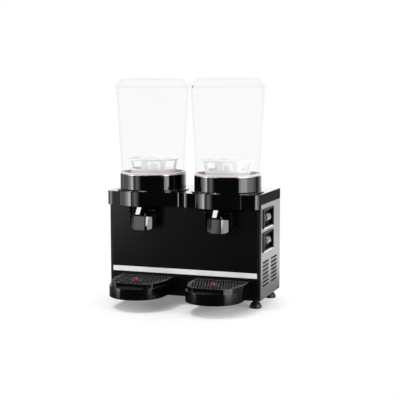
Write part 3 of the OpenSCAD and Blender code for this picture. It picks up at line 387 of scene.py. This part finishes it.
piece("power_inlet", eased("power_inlet", 0.5), "cabinet", "inlet_black", inlet_black, "power_inlet")


# Cooling unit: a black enamelled compressor, a finned condenser with its fan, and copper pipes.
# It stands on the base pan behind the louvres, where little of it shows.
compressor_black = finish("compressor_black", (0.018, 0.018, 0.018), 0.3, depth=0.1)
condenser_metal = finish("condenser_metal", (0.6, 0.6, 0.61), 0.35, metal=1.0, depth=0.1)
motor_grey = finish("motor_grey", (0.35, 0.35, 0.36), 0.4, metal=0.6, depth=0.1)
fan_black = finish("fan_black", (0.05, 0.05, 0.05), 0.5, depth=0.1)
copper = finish("copper", (0.66, 0.36, 0.2), 0.25, metal=1.0, depth=0.05)
piece("compressor", eased("compressor", 8, segments=5, least=60), "cabinet", "compressor_black",
      compressor_black, "compressor")
piece("condenser", eased("condenser", 0.4), "cabinet", "condenser_metal", condenser_metal, "condenser")
piece("fan_motor", eased("fan_motor", 1), "cabinet", "motor_grey", motor_grey, "fan_motor")
piece("fan_blade", eased("fan_blade", 0.4), "fan_blade", "fan_black", fan_black, "fan_blade")
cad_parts["refrigerant_pipes"].data.materials.clear()
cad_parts["refrigerant_pipes"].data.materials.append(copper)


# Deck: one gloss black moulding that closes the top of the cabinet, 3 mm thick.
# Its front drops as a skirt over the panel in two halves with round corners and a groove between them,
# and each half swells into a shallow lobe under its bowl, closed below, where the tap hangs.
def arc(x, y, radius, start, end, steps):
    """Points along a round corner, with its angles in degrees."""
    turns = [math.radians(start + (end - start) * k / steps) for k in range(steps + 1)]
    return [(x + radius * math.cos(a), y + radius * math.sin(a)) for a in turns]


def ring_edges(shape, x, y, z, radius, steps=48):
    """A bare circle of edges, the rim of a hole."""
    made = bmesh.ops.create_circle(shape, cap_ends=False, radius=radius * mm, segments=steps,
                                   matrix=Matrix.Translation(Vector((x, y, z)) * mm))
    return list({e for v in made["verts"] for e in v.link_edges})


gloss_black = finish("gloss_black", (0.0015, 0.0015, 0.0017), 0.06, mottle=0.1, depth=0.01, uneven=0.2)
deck_low, deck_mid, deck_high, deck_wall = 249, case_high, 284, 3
lip, lobe_r, lobe_fillet, corner_r, groove = 24, 95, 3, 20, 12
well_back = 51
outlet_r, outlet_y = 8.3, front_face - 16
drive_r = 46
pipe_r, pipe_back = 3.4, 121
lobe_rise = well_back + lip + lobe_fillet
lobe_run = math.sqrt((lobe_r + lobe_fillet) ** 2 - lobe_rise ** 2)
lobe_end = math.degrees(math.atan2(lobe_rise, lobe_run))
groove_end = 180 + math.degrees(math.asin((corner_r - groove) / corner_r))
lobe_x = wells["right"]
half_front = [(half_wide, 0)] + arc(half_wide - corner_r, corner_r - lip, corner_r, 360, 270, 18)
half_front += arc(lobe_x + lobe_run, -lip - lobe_fillet, lobe_fillet, 90, 180 - lobe_end, 6)
half_front += arc(lobe_x, well_back, lobe_r, -lobe_end, lobe_end - 180, 52)
half_front += arc(lobe_x - lobe_run, -lip - lobe_fillet, lobe_fillet, lobe_end, 90, 6)
half_front += arc(corner_r, corner_r - lip, corner_r, 270, groove_end, 14)
front_line = half_front + [(-x, y) for x, y in reversed(half_front)]
deck = bmesh.new()
skirt = [deck.verts.new((x * mm, (y + front_face) * mm, deck_low * mm)) for x, y in front_line]
skirt_edges = [deck.edges.new(pair) for pair in zip(skirt, skirt[1:])]
closing = deck.edges.new((skirt[-1], skirt[0]))
outlets = [e for x in wells.values() for e in ring_edges(deck, x, outlet_y, deck_low, outlet_r)]
bmesh.ops.triangle_fill(deck, use_beauty=True, edges=skirt_edges + [closing] + outlets)
grown = bmesh.ops.extrude_edge_only(deck, edges=skirt_edges)["geom"]
band = [v for v in grown if isinstance(v, bmesh.types.BMVert)]
bmesh.ops.translate(deck, verts=band, vec=(0, 0, (deck_mid - deck_low) * mm))
band_edges = [e for e in grown if isinstance(e, bmesh.types.BMEdge)
              and all(abs(v.co.z - deck_mid * mm) < 1e-6 for v in e.verts)]
ends = {math.copysign(1, v.co.x): v for v in band if abs(v.co.y - front_face * mm) < 1e-6}
rear_line = [ends[1]]
rear_line += [deck.verts.new((x * mm, (front_face + case_deep) * mm, deck_mid * mm))
              for x in (half_wide, -half_wide)]
rear_line += [ends[-1]]
band_edges += [deck.edges.new(pair) for pair in zip(rear_line, rear_line[1:])]
grown = bmesh.ops.extrude_edge_only(deck, edges=band_edges)["geom"]
crest = [v for v in grown if isinstance(v, bmesh.types.BMVert)]
bmesh.ops.translate(deck, verts=crest, vec=(0, 0, (deck_high - deck_mid) * mm))
crest_edges = [e for e in grown if isinstance(e, bmesh.types.BMEdge)
               and all(abs(v.co.z - deck_high * mm) < 1e-6 for v in e.verts)]
for x in wells.values():
    crest_edges += ring_edges(deck, x, front_face + well_back, deck_high, drive_r, 64)
    crest_edges += ring_edges(deck, x, outlet_y, deck_high, outlet_r)
    crest_edges += ring_edges(deck, x, front_face + pipe_back, deck_high, pipe_r, 24)
bmesh.ops.triangle_fill(deck, use_beauty=True, edges=crest_edges)
bmesh.ops.recalc_face_normals(deck, faces=deck.faces)
bmesh.ops.solidify(deck, geom=deck.faces[:], thickness=deck_wall * mm)
soften(deck, 1.1, least=50, spared=deck_wall)
top_deck = piece("top_deck", deck, "cabinet", "gloss_black", gloss_black, "top_deck")
satin_black = finish("satin_black", (0.003, 0.003, 0.0033), 0.6, mottle=0.1, grain=1300, depth=0.2)
satin_black.node_tree.nodes["Principled BSDF"].inputs["Specular IOR Level"].default_value = 0.05
top_deck.data.materials.append(satin_black)
for face in top_deck.data.polygons:
    if abs(face.normal.x) > 0.99 and abs(face.center.x) > (half_wide - 1) * mm:
        face.material_index = 1


# Collars: gloss black moulded rings, one round each cold dish, that stand on the deck.
# A thin flange round the foot covers the joint, and the upper edge is rolled over.
well_y = front_face + well_back
collar_outline = rounded([(80, 284), (91, 284, 0.5), (91, 286.5, 1), (85.2, 286.5, 0.8), (84, 288.4, 1.2),
                          (84, 324.5, 0.6), (80, 324.5, 0.6)])
for side, x in wells.items():
    collar = turned(collar_outline, x, well_y, steps=144, closed=True)
    piece("collar_" + side, collar, "cabinet", "gloss_black", gloss_black, "collar_" + side)


# Cold wells: a pressed stainless dish with a turned-out rim, and foam between it and the collar.
# A boss in the middle of the dish carries the agitator's spindle,
# and a hole near the front lets the drink down to the tap.
foam = finish("foam", (0.75, 0.68, 0.45), 0.85, mottle=0.15, cloud=120, grain=500, depth=0.5)
dish_outline = [(0, 304.5), (12, 304.5, 0.8), (12, 301.5, 1), (75.5, 301.5, 4), (75.5, 326, 1),
                (83, 326, 0.5), (83, 324.5, 0.4), (77, 324.5, 1), (77, 300, 5), (0, 300)]
spindle_outline = [(0, 351.5), (5, 351.5, 1), (5, 304), (0, 304)]
for side, x in wells.items():
    dish = turned(rounded(dish_outline), x, well_y, steps=128)
    joined(dish, turned(rounded(spindle_outline), x, well_y, steps=32))
    piece("evaporator_" + side, dish, "cabinet", "steel", steel, "evaporator_" + side)
    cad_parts["insulation_" + side].data.materials.clear()
    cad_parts["insulation_" + side].data.materials.append(foam)


# Stirrer drives: a plated motor hung under the deck turns a ferrite magnet disc below each dish.
# They stay out of sight inside the collar and the cabinet.
magnet = finish("magnet", (0.16, 0.16, 0.17), 0.5, metal=0.6, depth=0.2)
for side in wells:
    piece("stirrer_motor_" + side, eased("stirrer_motor_" + side, 1), "cabinet", "motor_grey", motor_grey,
          "stirrer_motor_" + side)
    piece("drive_magnet_" + side, eased("drive_magnet_" + side, 0.8), "drive_magnet_" + side, "magnet",
          magnet, "drive_magnet_" + side)


# Agitators: white moulded crowns with eight windows, pushed over the spindles.
# A cross of spokes at the foot joins the crown to its hub.
agitator_white = finish("agitator_white", (0.93, 0.93, 0.94), 0.4, mottle=0.02, depth=0.08)
crown_foot, opening_low, opening_high, crown_top = 305.1, 338.4, 359.1, 364.1
crown_outline = [(53.5, crown_foot), (61.3, opening_low), (65.7, opening_high), (66.8, crown_top)]
crown_wall = 2.5
opening_pitch, opening_half = 45, 15.5
spoke_reach, spoke_half, spoke_tall = 52, 5, 5
hub_outline = [(5.05, 304.8), (11, 304.8, 0.6), (11, 351.5, 1.5), (5.05, 351.5, 0.5)]
for side, x in wells.items():
    crown = bmesh.new()
    wall = [crown.verts.new(((r - crown_wall) * mm, 0, z * mm)) for r, z in crown_outline]
    rise = [crown.edges.new(pair) for pair in zip(wall, wall[1:])]
    bmesh.ops.spin(crown, geom=wall + rise, cent=(0, 0, 0), axis=(0, 0, 1), angle=2 * math.pi, steps=360,
                   use_merge=True)
    gone = []
    for face in crown.faces:
        middle = face.calc_center_median()
        turn = (math.degrees(math.atan2(middle.y, middle.x)) - opening_pitch / 2) % opening_pitch
        beside = min(turn, opening_pitch - turn)
        if opening_low < middle.z / mm < opening_high and beside < opening_half:
            gone.append(face)
    bmesh.ops.delete(crown, geom=gone, context="FACES")
    bmesh.ops.recalc_face_normals(crown, faces=crown.faces)
    bmesh.ops.solidify(crown, geom=crown.faces[:], thickness=-crown_wall * mm)
    soften(crown, 0.5, segments=2, least=50)
    for turn in (0, 90):
        spoke = block((-spoke_reach, -spoke_half, crown_foot),
                      (spoke_reach, spoke_half, crown_foot + spoke_tall), 0.8)
        bmesh.ops.rotate(spoke, verts=spoke.verts, cent=(0, 0, 0),
                         matrix=Matrix.Rotation(math.radians(turn), 3, "Z"))
        joined(crown, spoke)
    joined(crown, turned(rounded(hub_outline), steps=48, closed=True))
    bmesh.ops.translate(crown, verts=crown.verts, vec=(x * mm, well_y * mm, 0))
    piece("agitator_" + side, crown, "agitator_" + side, "agitator_white", agitator_white, "agitator_" + side)


# Bowl seals: soft pale silicone rings that lie on the rim of each dish.
# The bowl's foot presses on them, so they bulge a little at the middle.
seal_rubber = finish("seal_rubber", (0.78, 0.66, 0.64), 0.35, mottle=0.04, depth=0.06)
seal_outline = rounded([(76.5, 326, 1), (82.2, 326, 1.2), (82.6, 328.2, 1.5), (82.2, 330.5, 1.2),
                        (76.5, 330.5, 1)])
for side, x in wells.items():
    seal = turned(seal_outline, x, well_y, steps=128, closed=True)
    piece("bowl_seal_" + side, seal, "cabinet", "seal_rubber", seal_rubber, "bowl_seal_" + side)


# Bowls and lids: clear moulded polycarbonate, the bowls open below over the cold dish.
# Each bowl widens upwards to a thick rim, and the raised lid drops into it with a short ring.
def clear(name, roughness, tint):
    """Thin clear moulding: glassy, a trace of tone, and greyer where the wall is seen on edge."""
    material = finish(name, tint, roughness, mottle=0.01, grain=60, depth=0.0, uneven=0.3)
    nodes = material.node_tree.nodes
    links = material.node_tree.links
    shader = nodes["Principled BSDF"]
    shader.inputs["Transmission Weight"].default_value = 1.0
    shader.inputs["IOR"].default_value = 1.02
    wall = nodes.new("ShaderNodeLayerWeight")
    on_edge = nodes.new("ShaderNodeMapRange")
    on_edge.inputs["From Min"].default_value = 0.6
    links.new(wall.outputs["Facing"], on_edge.inputs["Value"])
    grey = nodes.new("ShaderNodeMix")
    grey.data_type = "RGBA"
    links.new(on_edge.outputs["Result"], grey.inputs["Factor"])
    links.new(shader.inputs["Base Color"].links[0].from_socket, grey.inputs["A"])
    grey.inputs["B"].default_value = [0.9 * c for c in tint] + [1]
    links.new(grey.outputs["Result"], shader.inputs["Base Color"])
    return material


clear_plastic = clear("clear_plastic", 0.02, (0.975, 0.975, 0.98))
bowl_outline = rounded([(77.5, 330.8, 0.6), (80.5, 330.8, 1), (93, 540.3, 1.2), (95, 540.3, 0.8),
                        (95, 546.8, 1), (90, 546.8, 0.8), (90, 540.3, 6)])
lid_outline = rounded([(0, 562.6), (77, 562.6, 5), (85, 547.1, 2), (87, 547.1, 0.5), (87, 541.1, 0.8),
                       (89.7, 541.1, 0.8), (89.7, 547.1, 0.3), (95, 547.1, 0.6), (95, 549.8, 1.2),
                       (87.8, 549.8, 2), (80, 565.3, 7), (0, 565.3)])
for side, x in wells.items():
    bowl = turned(bowl_outline, x, well_y, steps=288, closed=True)
    bowl = piece("bowl_" + side, bowl, "bowl_" + side, "clear_plastic", clear_plastic, "bowl_" + side)
    lid = turned(lid_outline, x, well_y, steps=288)
    lid = piece("lid_" + side, lid, "lid_" + side, "clear_plastic", clear_plastic, "lid_" + side)
    for shell in (bowl, lid):
        shell.visible_shadow = False
        shell.visible_diffuse = False


# Taps: a gloss black valve block hangs under each lobe, with a ramp on its nose and a round spout.
# A faceted push lever swings on two blackened pins in its sides and lifts the white plunger,
# which a steel spring holds down and which squeezes that spring as it rises. The spring is drawn once, at
# rest, and rides on no body.
valve_white = finish("valve_white", (0.85, 0.85, 0.85), 0.4, depth=0.05)
for side in wells:
    piece("tap_body_" + side, eased("tap_body_" + side, 0.3), "cabinet", "gloss_black",
          gloss_black, "tap_body_" + side)
    piece("tap_lever_" + side, eased("tap_lever_" + side, 0.8, segments=3, least=12), "tap_lever_" + side,
          "gloss_black", gloss_black, "tap_lever_" + side)
    piece("tap_pins_" + side, eased("tap_pins_" + side, 0.4), "cabinet", "gloss_black", gloss_black,
          "tap_pins_" + side)
    piece("tap_plunger_" + side, eased("tap_plunger_" + side, 0.4), "tap_plunger_" + side, "valve_white",
          valve_white, "tap_plunger_" + side)
    coil = bmesh.new()
    coil.from_mesh(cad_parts["tap_spring_" + side].data)
    bmesh.ops.remove_doubles(coil, verts=coil.verts, dist=2e-6)
    spring = piece("tap_spring_" + side, coil, None, "steel", steel, "tap_spring_" + side)
    low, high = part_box("tap_spring_" + side)
    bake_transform(spring)


# Drip trays: black moulded trays in two tiers that hang on the front panel by two tabs.
# The lower tier is round in front, the upper one steps back behind it with blunt corners,
# a ledge inside it carries the grille, and the top of its rim is painted grey as a highlight line.
tray_black = finish("tray_black", (0.002, 0.002, 0.0023), 0.14, mottle=0.1, depth=0.03, uneven=0.25)
# A grey for the top of the rim: a painted highlight, not the tray's own colour.
rim_painted_highlight = finish("rim_painted_highlight", (0.09, 0.09, 0.092), 0.35, depth=0.06)
tray_back = front_face - 0.3
tray_aside = 2.5
tray_low, tier_low, tray_rim = 31, 58, 69
tray_wall = 2.5
low_r, low_reach = 70.5, 61.5
low_line = [(low_r, 0)] + arc(0, -low_reach, low_r, 0, -180, 72) + [(-low_r, 0)]
ledge_top, ledge_thick, ledge_insets = 65.8, 2.8, (2.2, 5.5)
tab_half, tab_low, tab_high, tab_reach = 12, 43, 52, 6


def tier_line(inset):
    """Plan of the upper tier, drawn in by inset."""
    wide, corner, nose = 69.4 - inset, 57 - 0.8 * inset, 38 - 0.5 * inset
    right = [(wide, -inset), (wide, -52, 30), (corner, -98 + 0.6 * inset, 20), (nose, -114 + inset, 8)]
    return rounded(right + [(-p[0],) + p[1:] for p in reversed(right)], 4)


for side, x in wells.items():
    tray = bmesh.new()
    floor = [tray.verts.new((u * mm, v * mm, tray_low * mm)) for u, v in low_line]
    base = tray.faces.new(floor)
    grown = bmesh.ops.extrude_edge_only(tray, edges=base.edges)["geom"]
    shoulder = [v for v in grown if isinstance(v, bmesh.types.BMVert)]
    bmesh.ops.translate(tray, verts=shoulder, vec=(0, 0, (tier_low - tray_low) * mm))
    shoulder_edges = [e for e in grown if isinstance(e, bmesh.types.BMEdge)
                      and all(abs(v.co.z - tier_low * mm) < 1e-6 for v in e.verts)]
    back_edge = [e for e in shoulder_edges if all(abs(v.co.y) < 1e-6 for v in e.verts)]
    tier = [tray.verts.new((p.x * mm, p.y * mm, tier_low * mm)) for p in tier_line(0)]
    tier_edges = [tray.edges.new(pair) for pair in zip(tier, tier[1:])]
    tier_back = tray.edges.new((tier[-1], tier[0]))
    corners = sorted(back_edge[0].verts, key=lambda v: v.co.x)
    ledge_edges = [tray.edges.new((corners[1], tier[0])), tray.edges.new((corners[0], tier[-1]))]
    bmesh.ops.triangle_fill(tray, use_beauty=True, edges=[e for e in shoulder_edges if e not in back_edge]
                            + tier_edges + ledge_edges)
    grown = bmesh.ops.extrude_edge_only(tray, edges=tier_edges + [tier_back])["geom"]
    bmesh.ops.translate(tray, verts=[v for v in grown if isinstance(v, bmesh.types.BMVert)],
                        vec=(0, 0, (tray_rim - tier_low) * mm))
    bmesh.ops.split_edges(tray, edges=back_edge)
    bmesh.ops.remove_doubles(tray, verts=tray.verts, dist=1e-6)
    bmesh.ops.recalc_face_normals(tray, faces=tray.faces)
    bmesh.ops.solidify(tray, geom=tray.faces[:], thickness=tray_wall * mm)
    soften(tray, 0.25, segments=2, least=40)
    ledge = bmesh.new()
    rims = []
    for inset in ledge_insets:
        rim = [ledge.verts.new((p.x * mm, p.y * mm, ledge_top * mm)) for p in tier_line(inset)]
        rims += [ledge.edges.new(pair) for pair in zip(rim, rim[1:] + rim[:1])]
    bmesh.ops.triangle_fill(ledge, use_beauty=True, edges=rims)
    bmesh.ops.recalc_face_normals(ledge, faces=ledge.faces)
    bmesh.ops.solidify(ledge, geom=ledge.faces[:], thickness=-ledge_thick * mm)
    joined(tray, ledge)
    bmesh.ops.translate(tray, verts=tray.verts, vec=((x + tray_aside) * mm, tray_back * mm, 0))
    for tab in tray_tabs:
        joined(tray, block((x + tab - tab_half, tray_back - 2, tab_low),
                           (x + tab + tab_half, tray_back + tab_reach, tab_high), 0.8))
    tray = piece("drip_tray_" + side, tray, "drip_tray_" + side, "tray_black", tray_black,
                 "drip_tray_" + side)
    tray.data.materials.append(rim_painted_highlight)
    # Faces on top of the rim take the painted highlight grey, all other faces the tray's black.
    for face in tray.data.polygons:
        face.material_index = 1 if face.normal.z > 0.3 and face.center.z > (tray_rim - 1) * mm else 0


# Grilles: lift-out black moulded plates that lie on the ledge of each tray.
# Rows of slanting slots let the drips through, and a round hole clears the float.
# The upper face is painted a lighter grey as a highlight, the slots and the underside stay black.
# A lighter grey for the upper face: a painted highlight on the bars.
grille_black = finish("grille_black", (0.022, 0.022, 0.023), 0.35, depth=0.06)
grille_black.node_tree.nodes["Principled BSDF"].inputs["Specular IOR Level"].default_value = 0.22
float_y = front_face - 64
float_hole, hole_margin = 8, 9.5
grille_top, grille_thick, grille_inset, border_inset = 68.8, 2.5, 2.7, 4.5
slit_half, slit_long, slit_pitch = 2, 11.8, 7
row_pitch, middle_row = 13.6, -57
lean = math.radians(16.5)
slit_ahead = Vector((-math.sin(lean), math.cos(lean)))
slit_aside = Vector((slit_half, 0))


def within(point, outline):
    """True if the point is inside an outline that has no hollows and runs clockwise."""
    return all((b - a).cross(point - a) < 0 for a, b in zip(outline, outline[1:] + outline[:1]))


for side, x in wells.items():
    grille = bmesh.new()
    hole = Vector((-tray_aside, float_y - tray_back))
    plate = [grille.verts.new((p.x * mm, p.y * mm, grille_top * mm)) for p in tier_line(grille_inset)]
    cuts = [grille.edges.new(pair) for pair in zip(plate, plate[1:] + plate[:1])]
    cuts += ring_edges(grille, hole.x, hole.y, grille_top, float_hole, 32)
    border = tier_line(border_inset)
    for row in range(-5, 5):
        for column in range(-14, 15):
            near = Vector((slit_pitch * column, middle_row)) + slit_ahead * row_pitch * row
            far = near + slit_ahead * slit_long
            slit = [near - slit_aside, far - slit_aside, far + slit_aside, near + slit_aside]
            if all(within(p, border) and (p - hole).length > hole_margin for p in slit):
                loop = [grille.verts.new((p.x * mm, p.y * mm, grille_top * mm)) for p in slit]
                cuts += [grille.edges.new(pair) for pair in zip(loop, loop[1:] + loop[:1])]
    bmesh.ops.triangle_fill(grille, use_beauty=True, edges=cuts)
    sunk = bmesh.ops.extrude_face_region(grille, geom=grille.faces[:])["geom"]
    bmesh.ops.translate(grille, verts=[v for v in sunk if isinstance(v, bmesh.types.BMVert)],
                        vec=(0, 0, -grille_thick * mm))
    bmesh.ops.recalc_face_normals(grille, faces=grille.faces)
    soften(grille, 0.35, segments=2)
    bmesh.ops.translate(grille, verts=grille.verts, vec=((x + tray_aside) * mm, tray_back * mm, 0))
    grille = piece("drip_grille_" + side, grille, "drip_grille_" + side, "grille_black", grille_black,
                   "drip_grille_" + side)
    grille.data.materials.append(tray_black)
    # Upward faces take the lighter grey as a painted highlight, the slots' walls and the underside the tray's
    # black.
    for face in grille.data.polygons:
        face.material_index = 0 if face.normal.z > 0.3 else 1


# Floats: red moulded pins with a wide disc inside the tray.
# They rise through the grille when the tray is full.
float_red = finish("float_red", (0.3, 0.012, 0.016), 0.25, mottle=0.05, depth=0.03)
float_outline = [(0, 33.8), (14, 33.8, 1), (14, 41.8, 1), (6.3, 41.8, 1), (6.3, 74, 4.5), (0, 74)]
for side, x in wells.items():
    pin = turned(rounded(float_outline), x, float_y, steps=64)
    piece("tray_float_" + side, pin, "tray_float_" + side, "float_red", float_red, "tray_float_" + side)


# Switches: two black moulded pockets snapped behind the windows of the right side panel, with a
# raised lip around the front, top and rear of each window. Each holds a red rocker on a pin, under
# a clear soft boot that keeps splashes out.
switch_black = finish("switch_black", (0.016, 0.016, 0.017), 0.35, depth=0.05)
switch_black.node_tree.nodes["Principled BSDF"].inputs["Specular IOR Level"].default_value = 0.06
rocker_red = finish("rocker_red", (0.04, 0.003, 0.004), 0.3, mottle=0.05, depth=0.03)
boot_clear = clear("boot_clear", 0.1, (0.85, 0.85, 0.86))
boot_clear.node_tree.nodes["Principled BSDF"].inputs["IOR"].default_value = 1.27
lip_inner, lip_outer, lip_under, lip_over = 199, 203.2, 22.6, 25.4
upright_lips = ((17, 24.5), (108, 112))
top_lip_front, top_lip_rear, top_lip_low, top_lip_outer = 20, 111, 22.4, 203
for level in ("upper", "lower"):
    z = switch_heights[level]
    bezel = eased("switch_bezel_" + level, 0.6)
    for start, end in upright_lips:
        joined(bezel, block((lip_inner, front_face + start, z - lip_under),
                            (lip_outer, front_face + end, z + lip_over), 0.6))
    joined(bezel, block((lip_inner, front_face + top_lip_front, z + top_lip_low),
                        (top_lip_outer, front_face + top_lip_rear, z + lip_over), 0.6))
    piece("switch_bezel_" + level, bezel, "cabinet", "switch_black", switch_black,
          "switch_bezel_" + level)
    piece("switch_rocker_" + level, eased("switch_rocker_" + level, 0.8), "switch_rocker_" + level,
          "rocker_red", rocker_red, "switch_rocker_" + level)
    boot = piece("switch_boot_" + level, eased("switch_boot_" + level, 0.5), "cabinet", "boot_clear",
                 boot_clear, "switch_boot_" + level)
    boot.visible_shadow = False
    boot.visible_diffuse = False


# Screws: eight plated pan heads that hold the sheets together,
# two low on each side panel and four in the rear panel.
piece("case_screws", eased("case_screws", 0.5), "cabinet", "steel", steel, "case_screws")


# Studio: a pale floor that fades into a white surround, rows of tall softboxes at both sides, two low
# ones behind, a key light high at the front left and soft fill from above. Polished faces see a dim
# floor, white paper behind the object and little in front of it, as in a photographer's booth.
floor = bmesh.new()
bmesh.ops.create_circle(floor, cap_ends=True, cap_tris=True, radius=1.6, segments=96)
floor_mesh = bpy.data.meshes.new("floor")
floor.to_mesh(floor_mesh)
floor.free()
floor = bpy.data.objects.new("floor", floor_mesh)
bpy.context.scene.collection.objects.link(floor)
pale = bpy.data.materials.new("pale_floor")
pale.use_nodes = True
nodes = pale.node_tree.nodes
links = pale.node_tree.links
nodes.remove(nodes["Principled BSDF"])
ray = nodes.new("ShaderNodeLightPath")
tone = nodes.new("ShaderNodeMix")
tone.data_type = "RGBA"
tone.inputs["A"].default_value = (0.8, 0.8, 0.8, 1)
tone.inputs["B"].default_value = (0.1, 0.1, 0.1, 1)
links.new(ray.outputs["Is Glossy Ray"], tone.inputs["Factor"])
paper = nodes.new("ShaderNodeBsdfDiffuse")
links.new(tone.outputs["Result"], paper.inputs["Color"])
glow = nodes.new("ShaderNodeEmission")
seen = nodes.new("ShaderNodeMath")
seen.operation = "MULTIPLY"
seen.inputs[1].default_value = 0.19
links.new(ray.outputs["Is Camera Ray"], seen.inputs[0])
links.new(seen.outputs["Value"], glow.inputs["Strength"])
both = nodes.new("ShaderNodeAddShader")
links.new(paper.outputs["BSDF"], both.inputs[0])
links.new(glow.outputs["Emission"], both.inputs[1])
place = nodes.new("ShaderNodeTexCoord")
behind = nodes.new("ShaderNodeVectorMath")
behind.operation = "MULTIPLY_ADD"
behind.inputs[1].default_value = (0, -0.2, 0)
links.new(ray.outputs["Is Glossy Ray"], behind.inputs[0])
links.new(place.outputs["Object"], behind.inputs[2])
away = nodes.new("ShaderNodeVectorMath")
away.operation = "LENGTH"
links.new(behind.outputs["Vector"], away.inputs[0])
spread = nodes.new("ShaderNodeMapRange")
spread.inputs["To Min"].default_value = 1.0
spread.inputs["To Max"].default_value = 0.57
links.new(ray.outputs["Is Glossy Ray"], spread.inputs["Value"])
scaled = nodes.new("ShaderNodeMath")
scaled.operation = "MULTIPLY"
links.new(away.outputs["Value"], scaled.inputs[0])
links.new(spread.outputs["Result"], scaled.inputs[1])
fade = nodes.new("ShaderNodeMapRange")
fade.interpolation_type = "SMOOTHSTEP"
fade.inputs["From Min"].default_value = 0.15
fade.inputs["From Max"].default_value = 0.275
links.new(scaled.outputs["Value"], fade.inputs["Value"])
nothing = nodes.new("ShaderNodeBsdfTransparent")
edge = nodes.new("ShaderNodeMixShader")
links.new(fade.outputs["Result"], edge.inputs["Fac"])
links.new(both.outputs["Shader"], edge.inputs[1])
links.new(nothing.outputs["BSDF"], edge.inputs[2])
links.new(edge.outputs["Shader"], nodes["Material Output"].inputs["Surface"])
floor.data.materials.append(pale)


def softbox(name, azimuth, elevation, wide, tall, radiance, distance=1.6):
    """A flat lamp that faces the object, with its place and spread in degrees from the front."""
    lamp = bpy.data.lights.new(name, "AREA")
    lamp.shape = "RECTANGLE"
    lamp.size = 2 * distance * math.tan(math.radians(wide / 2))
    lamp.size_y = 2 * distance * math.tan(math.radians(tall / 2))
    lamp.energy = radiance * math.pi * lamp.size * lamp.size_y
    light = bpy.data.objects.new(name, lamp)
    a = math.radians(azimuth)
    e = math.radians(elevation)
    towards = Vector((math.sin(a) * math.cos(e), -math.cos(a) * math.cos(e), math.sin(e)))
    light.location = Vector((0, 0, 0.3)) + towards * distance
    light.rotation_euler = towards.to_track_quat("Z", "Y").to_euler()
    light.visible_camera = False
    light.visible_transmission = False
    bpy.context.scene.collection.objects.link(light)
    return light


side_lamps = {"left": [(-125, -112, 0.2), (-112, -90, 0.7), (-90, -78, 1.1), (-78, -70, 2.2),
                       (-70, -63, 4.6), (-63, -53.6, 8.6), (-51, -44, 0.9), (-44, -33, 2.1),
                       (-33, -27, 0.7)],
              "right": [(57.5, 64, 4.5), (64, 86, 6.8), (86, 96, 3.3), (96, 105, 2.6), (105, 114, 1.9),
                        (114, 124, 0.8)]}
for side, row in side_lamps.items():
    for number, (start, end, radiance) in enumerate(row):
        low = -11 if -52 < start < 0 else -18
        high = 3 if end < -75 else 17
        softbox(f"{side}_box_{number}", (start + end) / 2, (low + high) / 2, end - start, high - low,
                radiance)
softbox("front_box", -21, 7, 14, 10, 2.6)
softbox("lever_box", 61, 5.5, 9, 11, 13)
softbox("back_box", 199.4, 6, 28, 12, 0.48)
softbox("side_box", 154, -14.5, 16, 6, 0.65)
softbox("key", -47, 61, 17, 17, 20)
fill = softbox("fill_above", -10, 78, 50, 50, 1.0)
fill.visible_glossy = False
front_fill = softbox("front_fill", 0, 24, 46, 30, 0.9)
front_fill.visible_glossy = False

world = bpy.data.worlds.new("surround")
bpy.context.scene.world = world
world.use_nodes = True
nodes = world.node_tree.nodes
links = world.node_tree.links
seen_white = nodes["Background"]
seen_white.inputs["Color"].default_value = (1, 1, 1, 1)
seen_white.inputs["Strength"].default_value = 1
place = nodes.new("ShaderNodeTexCoord")
parts = nodes.new("ShaderNodeSeparateXYZ")
links.new(place.outputs["Generated"], parts.inputs["Vector"])
depth = nodes.new("ShaderNodeMapRange")
depth.inputs["From Min"].default_value = -1
links.new(parts.outputs["Y"], depth.inputs["Value"])
booth_tone = nodes.new("ShaderNodeValToRGB")
stops = booth_tone.color_ramp.elements
stops[0].color = (0.015, 0.015, 0.015, 1)
stops[1].color = (0.7, 0.7, 0.7, 1)
for behind, level in ((0.0, 0.02), (0.45, 0.08), (0.7, 0.1), (0.85, 0.22), (0.94, 0.6)):
    stop = stops.new((behind + 1) / 2)
    stop.color = (level, level, level, 1)
links.new(depth.outputs["Result"], booth_tone.inputs["Fac"])
booth = nodes.new("ShaderNodeBackground")
booth.inputs["Strength"].default_value = 1.8
links.new(booth_tone.outputs["Color"], booth.inputs["Color"])
ray = nodes.new("ShaderNodeLightPath")
through = nodes.new("ShaderNodeMath")
through.operation = "GREATER_THAN"
through.inputs[1].default_value = 0.5
links.new(ray.outputs["Transmission Depth"], through.inputs[0])
unlit = nodes.new("ShaderNodeMath")
unlit.operation = "LESS_THAN"
unlit.inputs[1].default_value = 0.5
links.new(ray.outputs["Diffuse Depth"], unlit.inputs[0])
glass = nodes.new("ShaderNodeMath")
glass.operation = "MULTIPLY"
links.new(through.outputs["Value"], glass.inputs[0])
links.new(unlit.outputs["Value"], glass.inputs[1])
white = nodes.new("ShaderNodeMath")
white.operation = "MAXIMUM"
links.new(ray.outputs["Is Camera Ray"], white.inputs[0])
links.new(glass.outputs["Value"], white.inputs[1])
pick = nodes.new("ShaderNodeMixShader")
links.new(white.outputs["Value"], pick.inputs["Fac"])
links.new(booth.outputs["Background"], pick.inputs[1])
links.new(seen_white.outputs["Background"], pick.inputs[2])
links.new(pick.outputs["Shader"], nodes["World Output"].inputs["Surface"])

lens = bpy.data.cameras.new("camera")
lens.lens = 88.03
lens.sensor_width = 36
camera = bpy.data.objects.new("camera", lens)
stand = (0.84264, -2.28842, 0.5281)
swing, dip, roll = 19.43, 6.23, -0.1
camera.matrix_world = (Matrix.Translation(stand) @ Matrix.Rotation(math.radians(swing), 4, "Z")
                       @ Matrix.Rotation(math.radians(90 - dip), 4, "X")
                       @ Matrix.Rotation(math.radians(roll), 4, "Z"))
bpy.context.scene.collection.objects.link(camera)
bpy.context.scene.camera = camera
bpy.context.scene.view_settings.view_transform = "Standard"
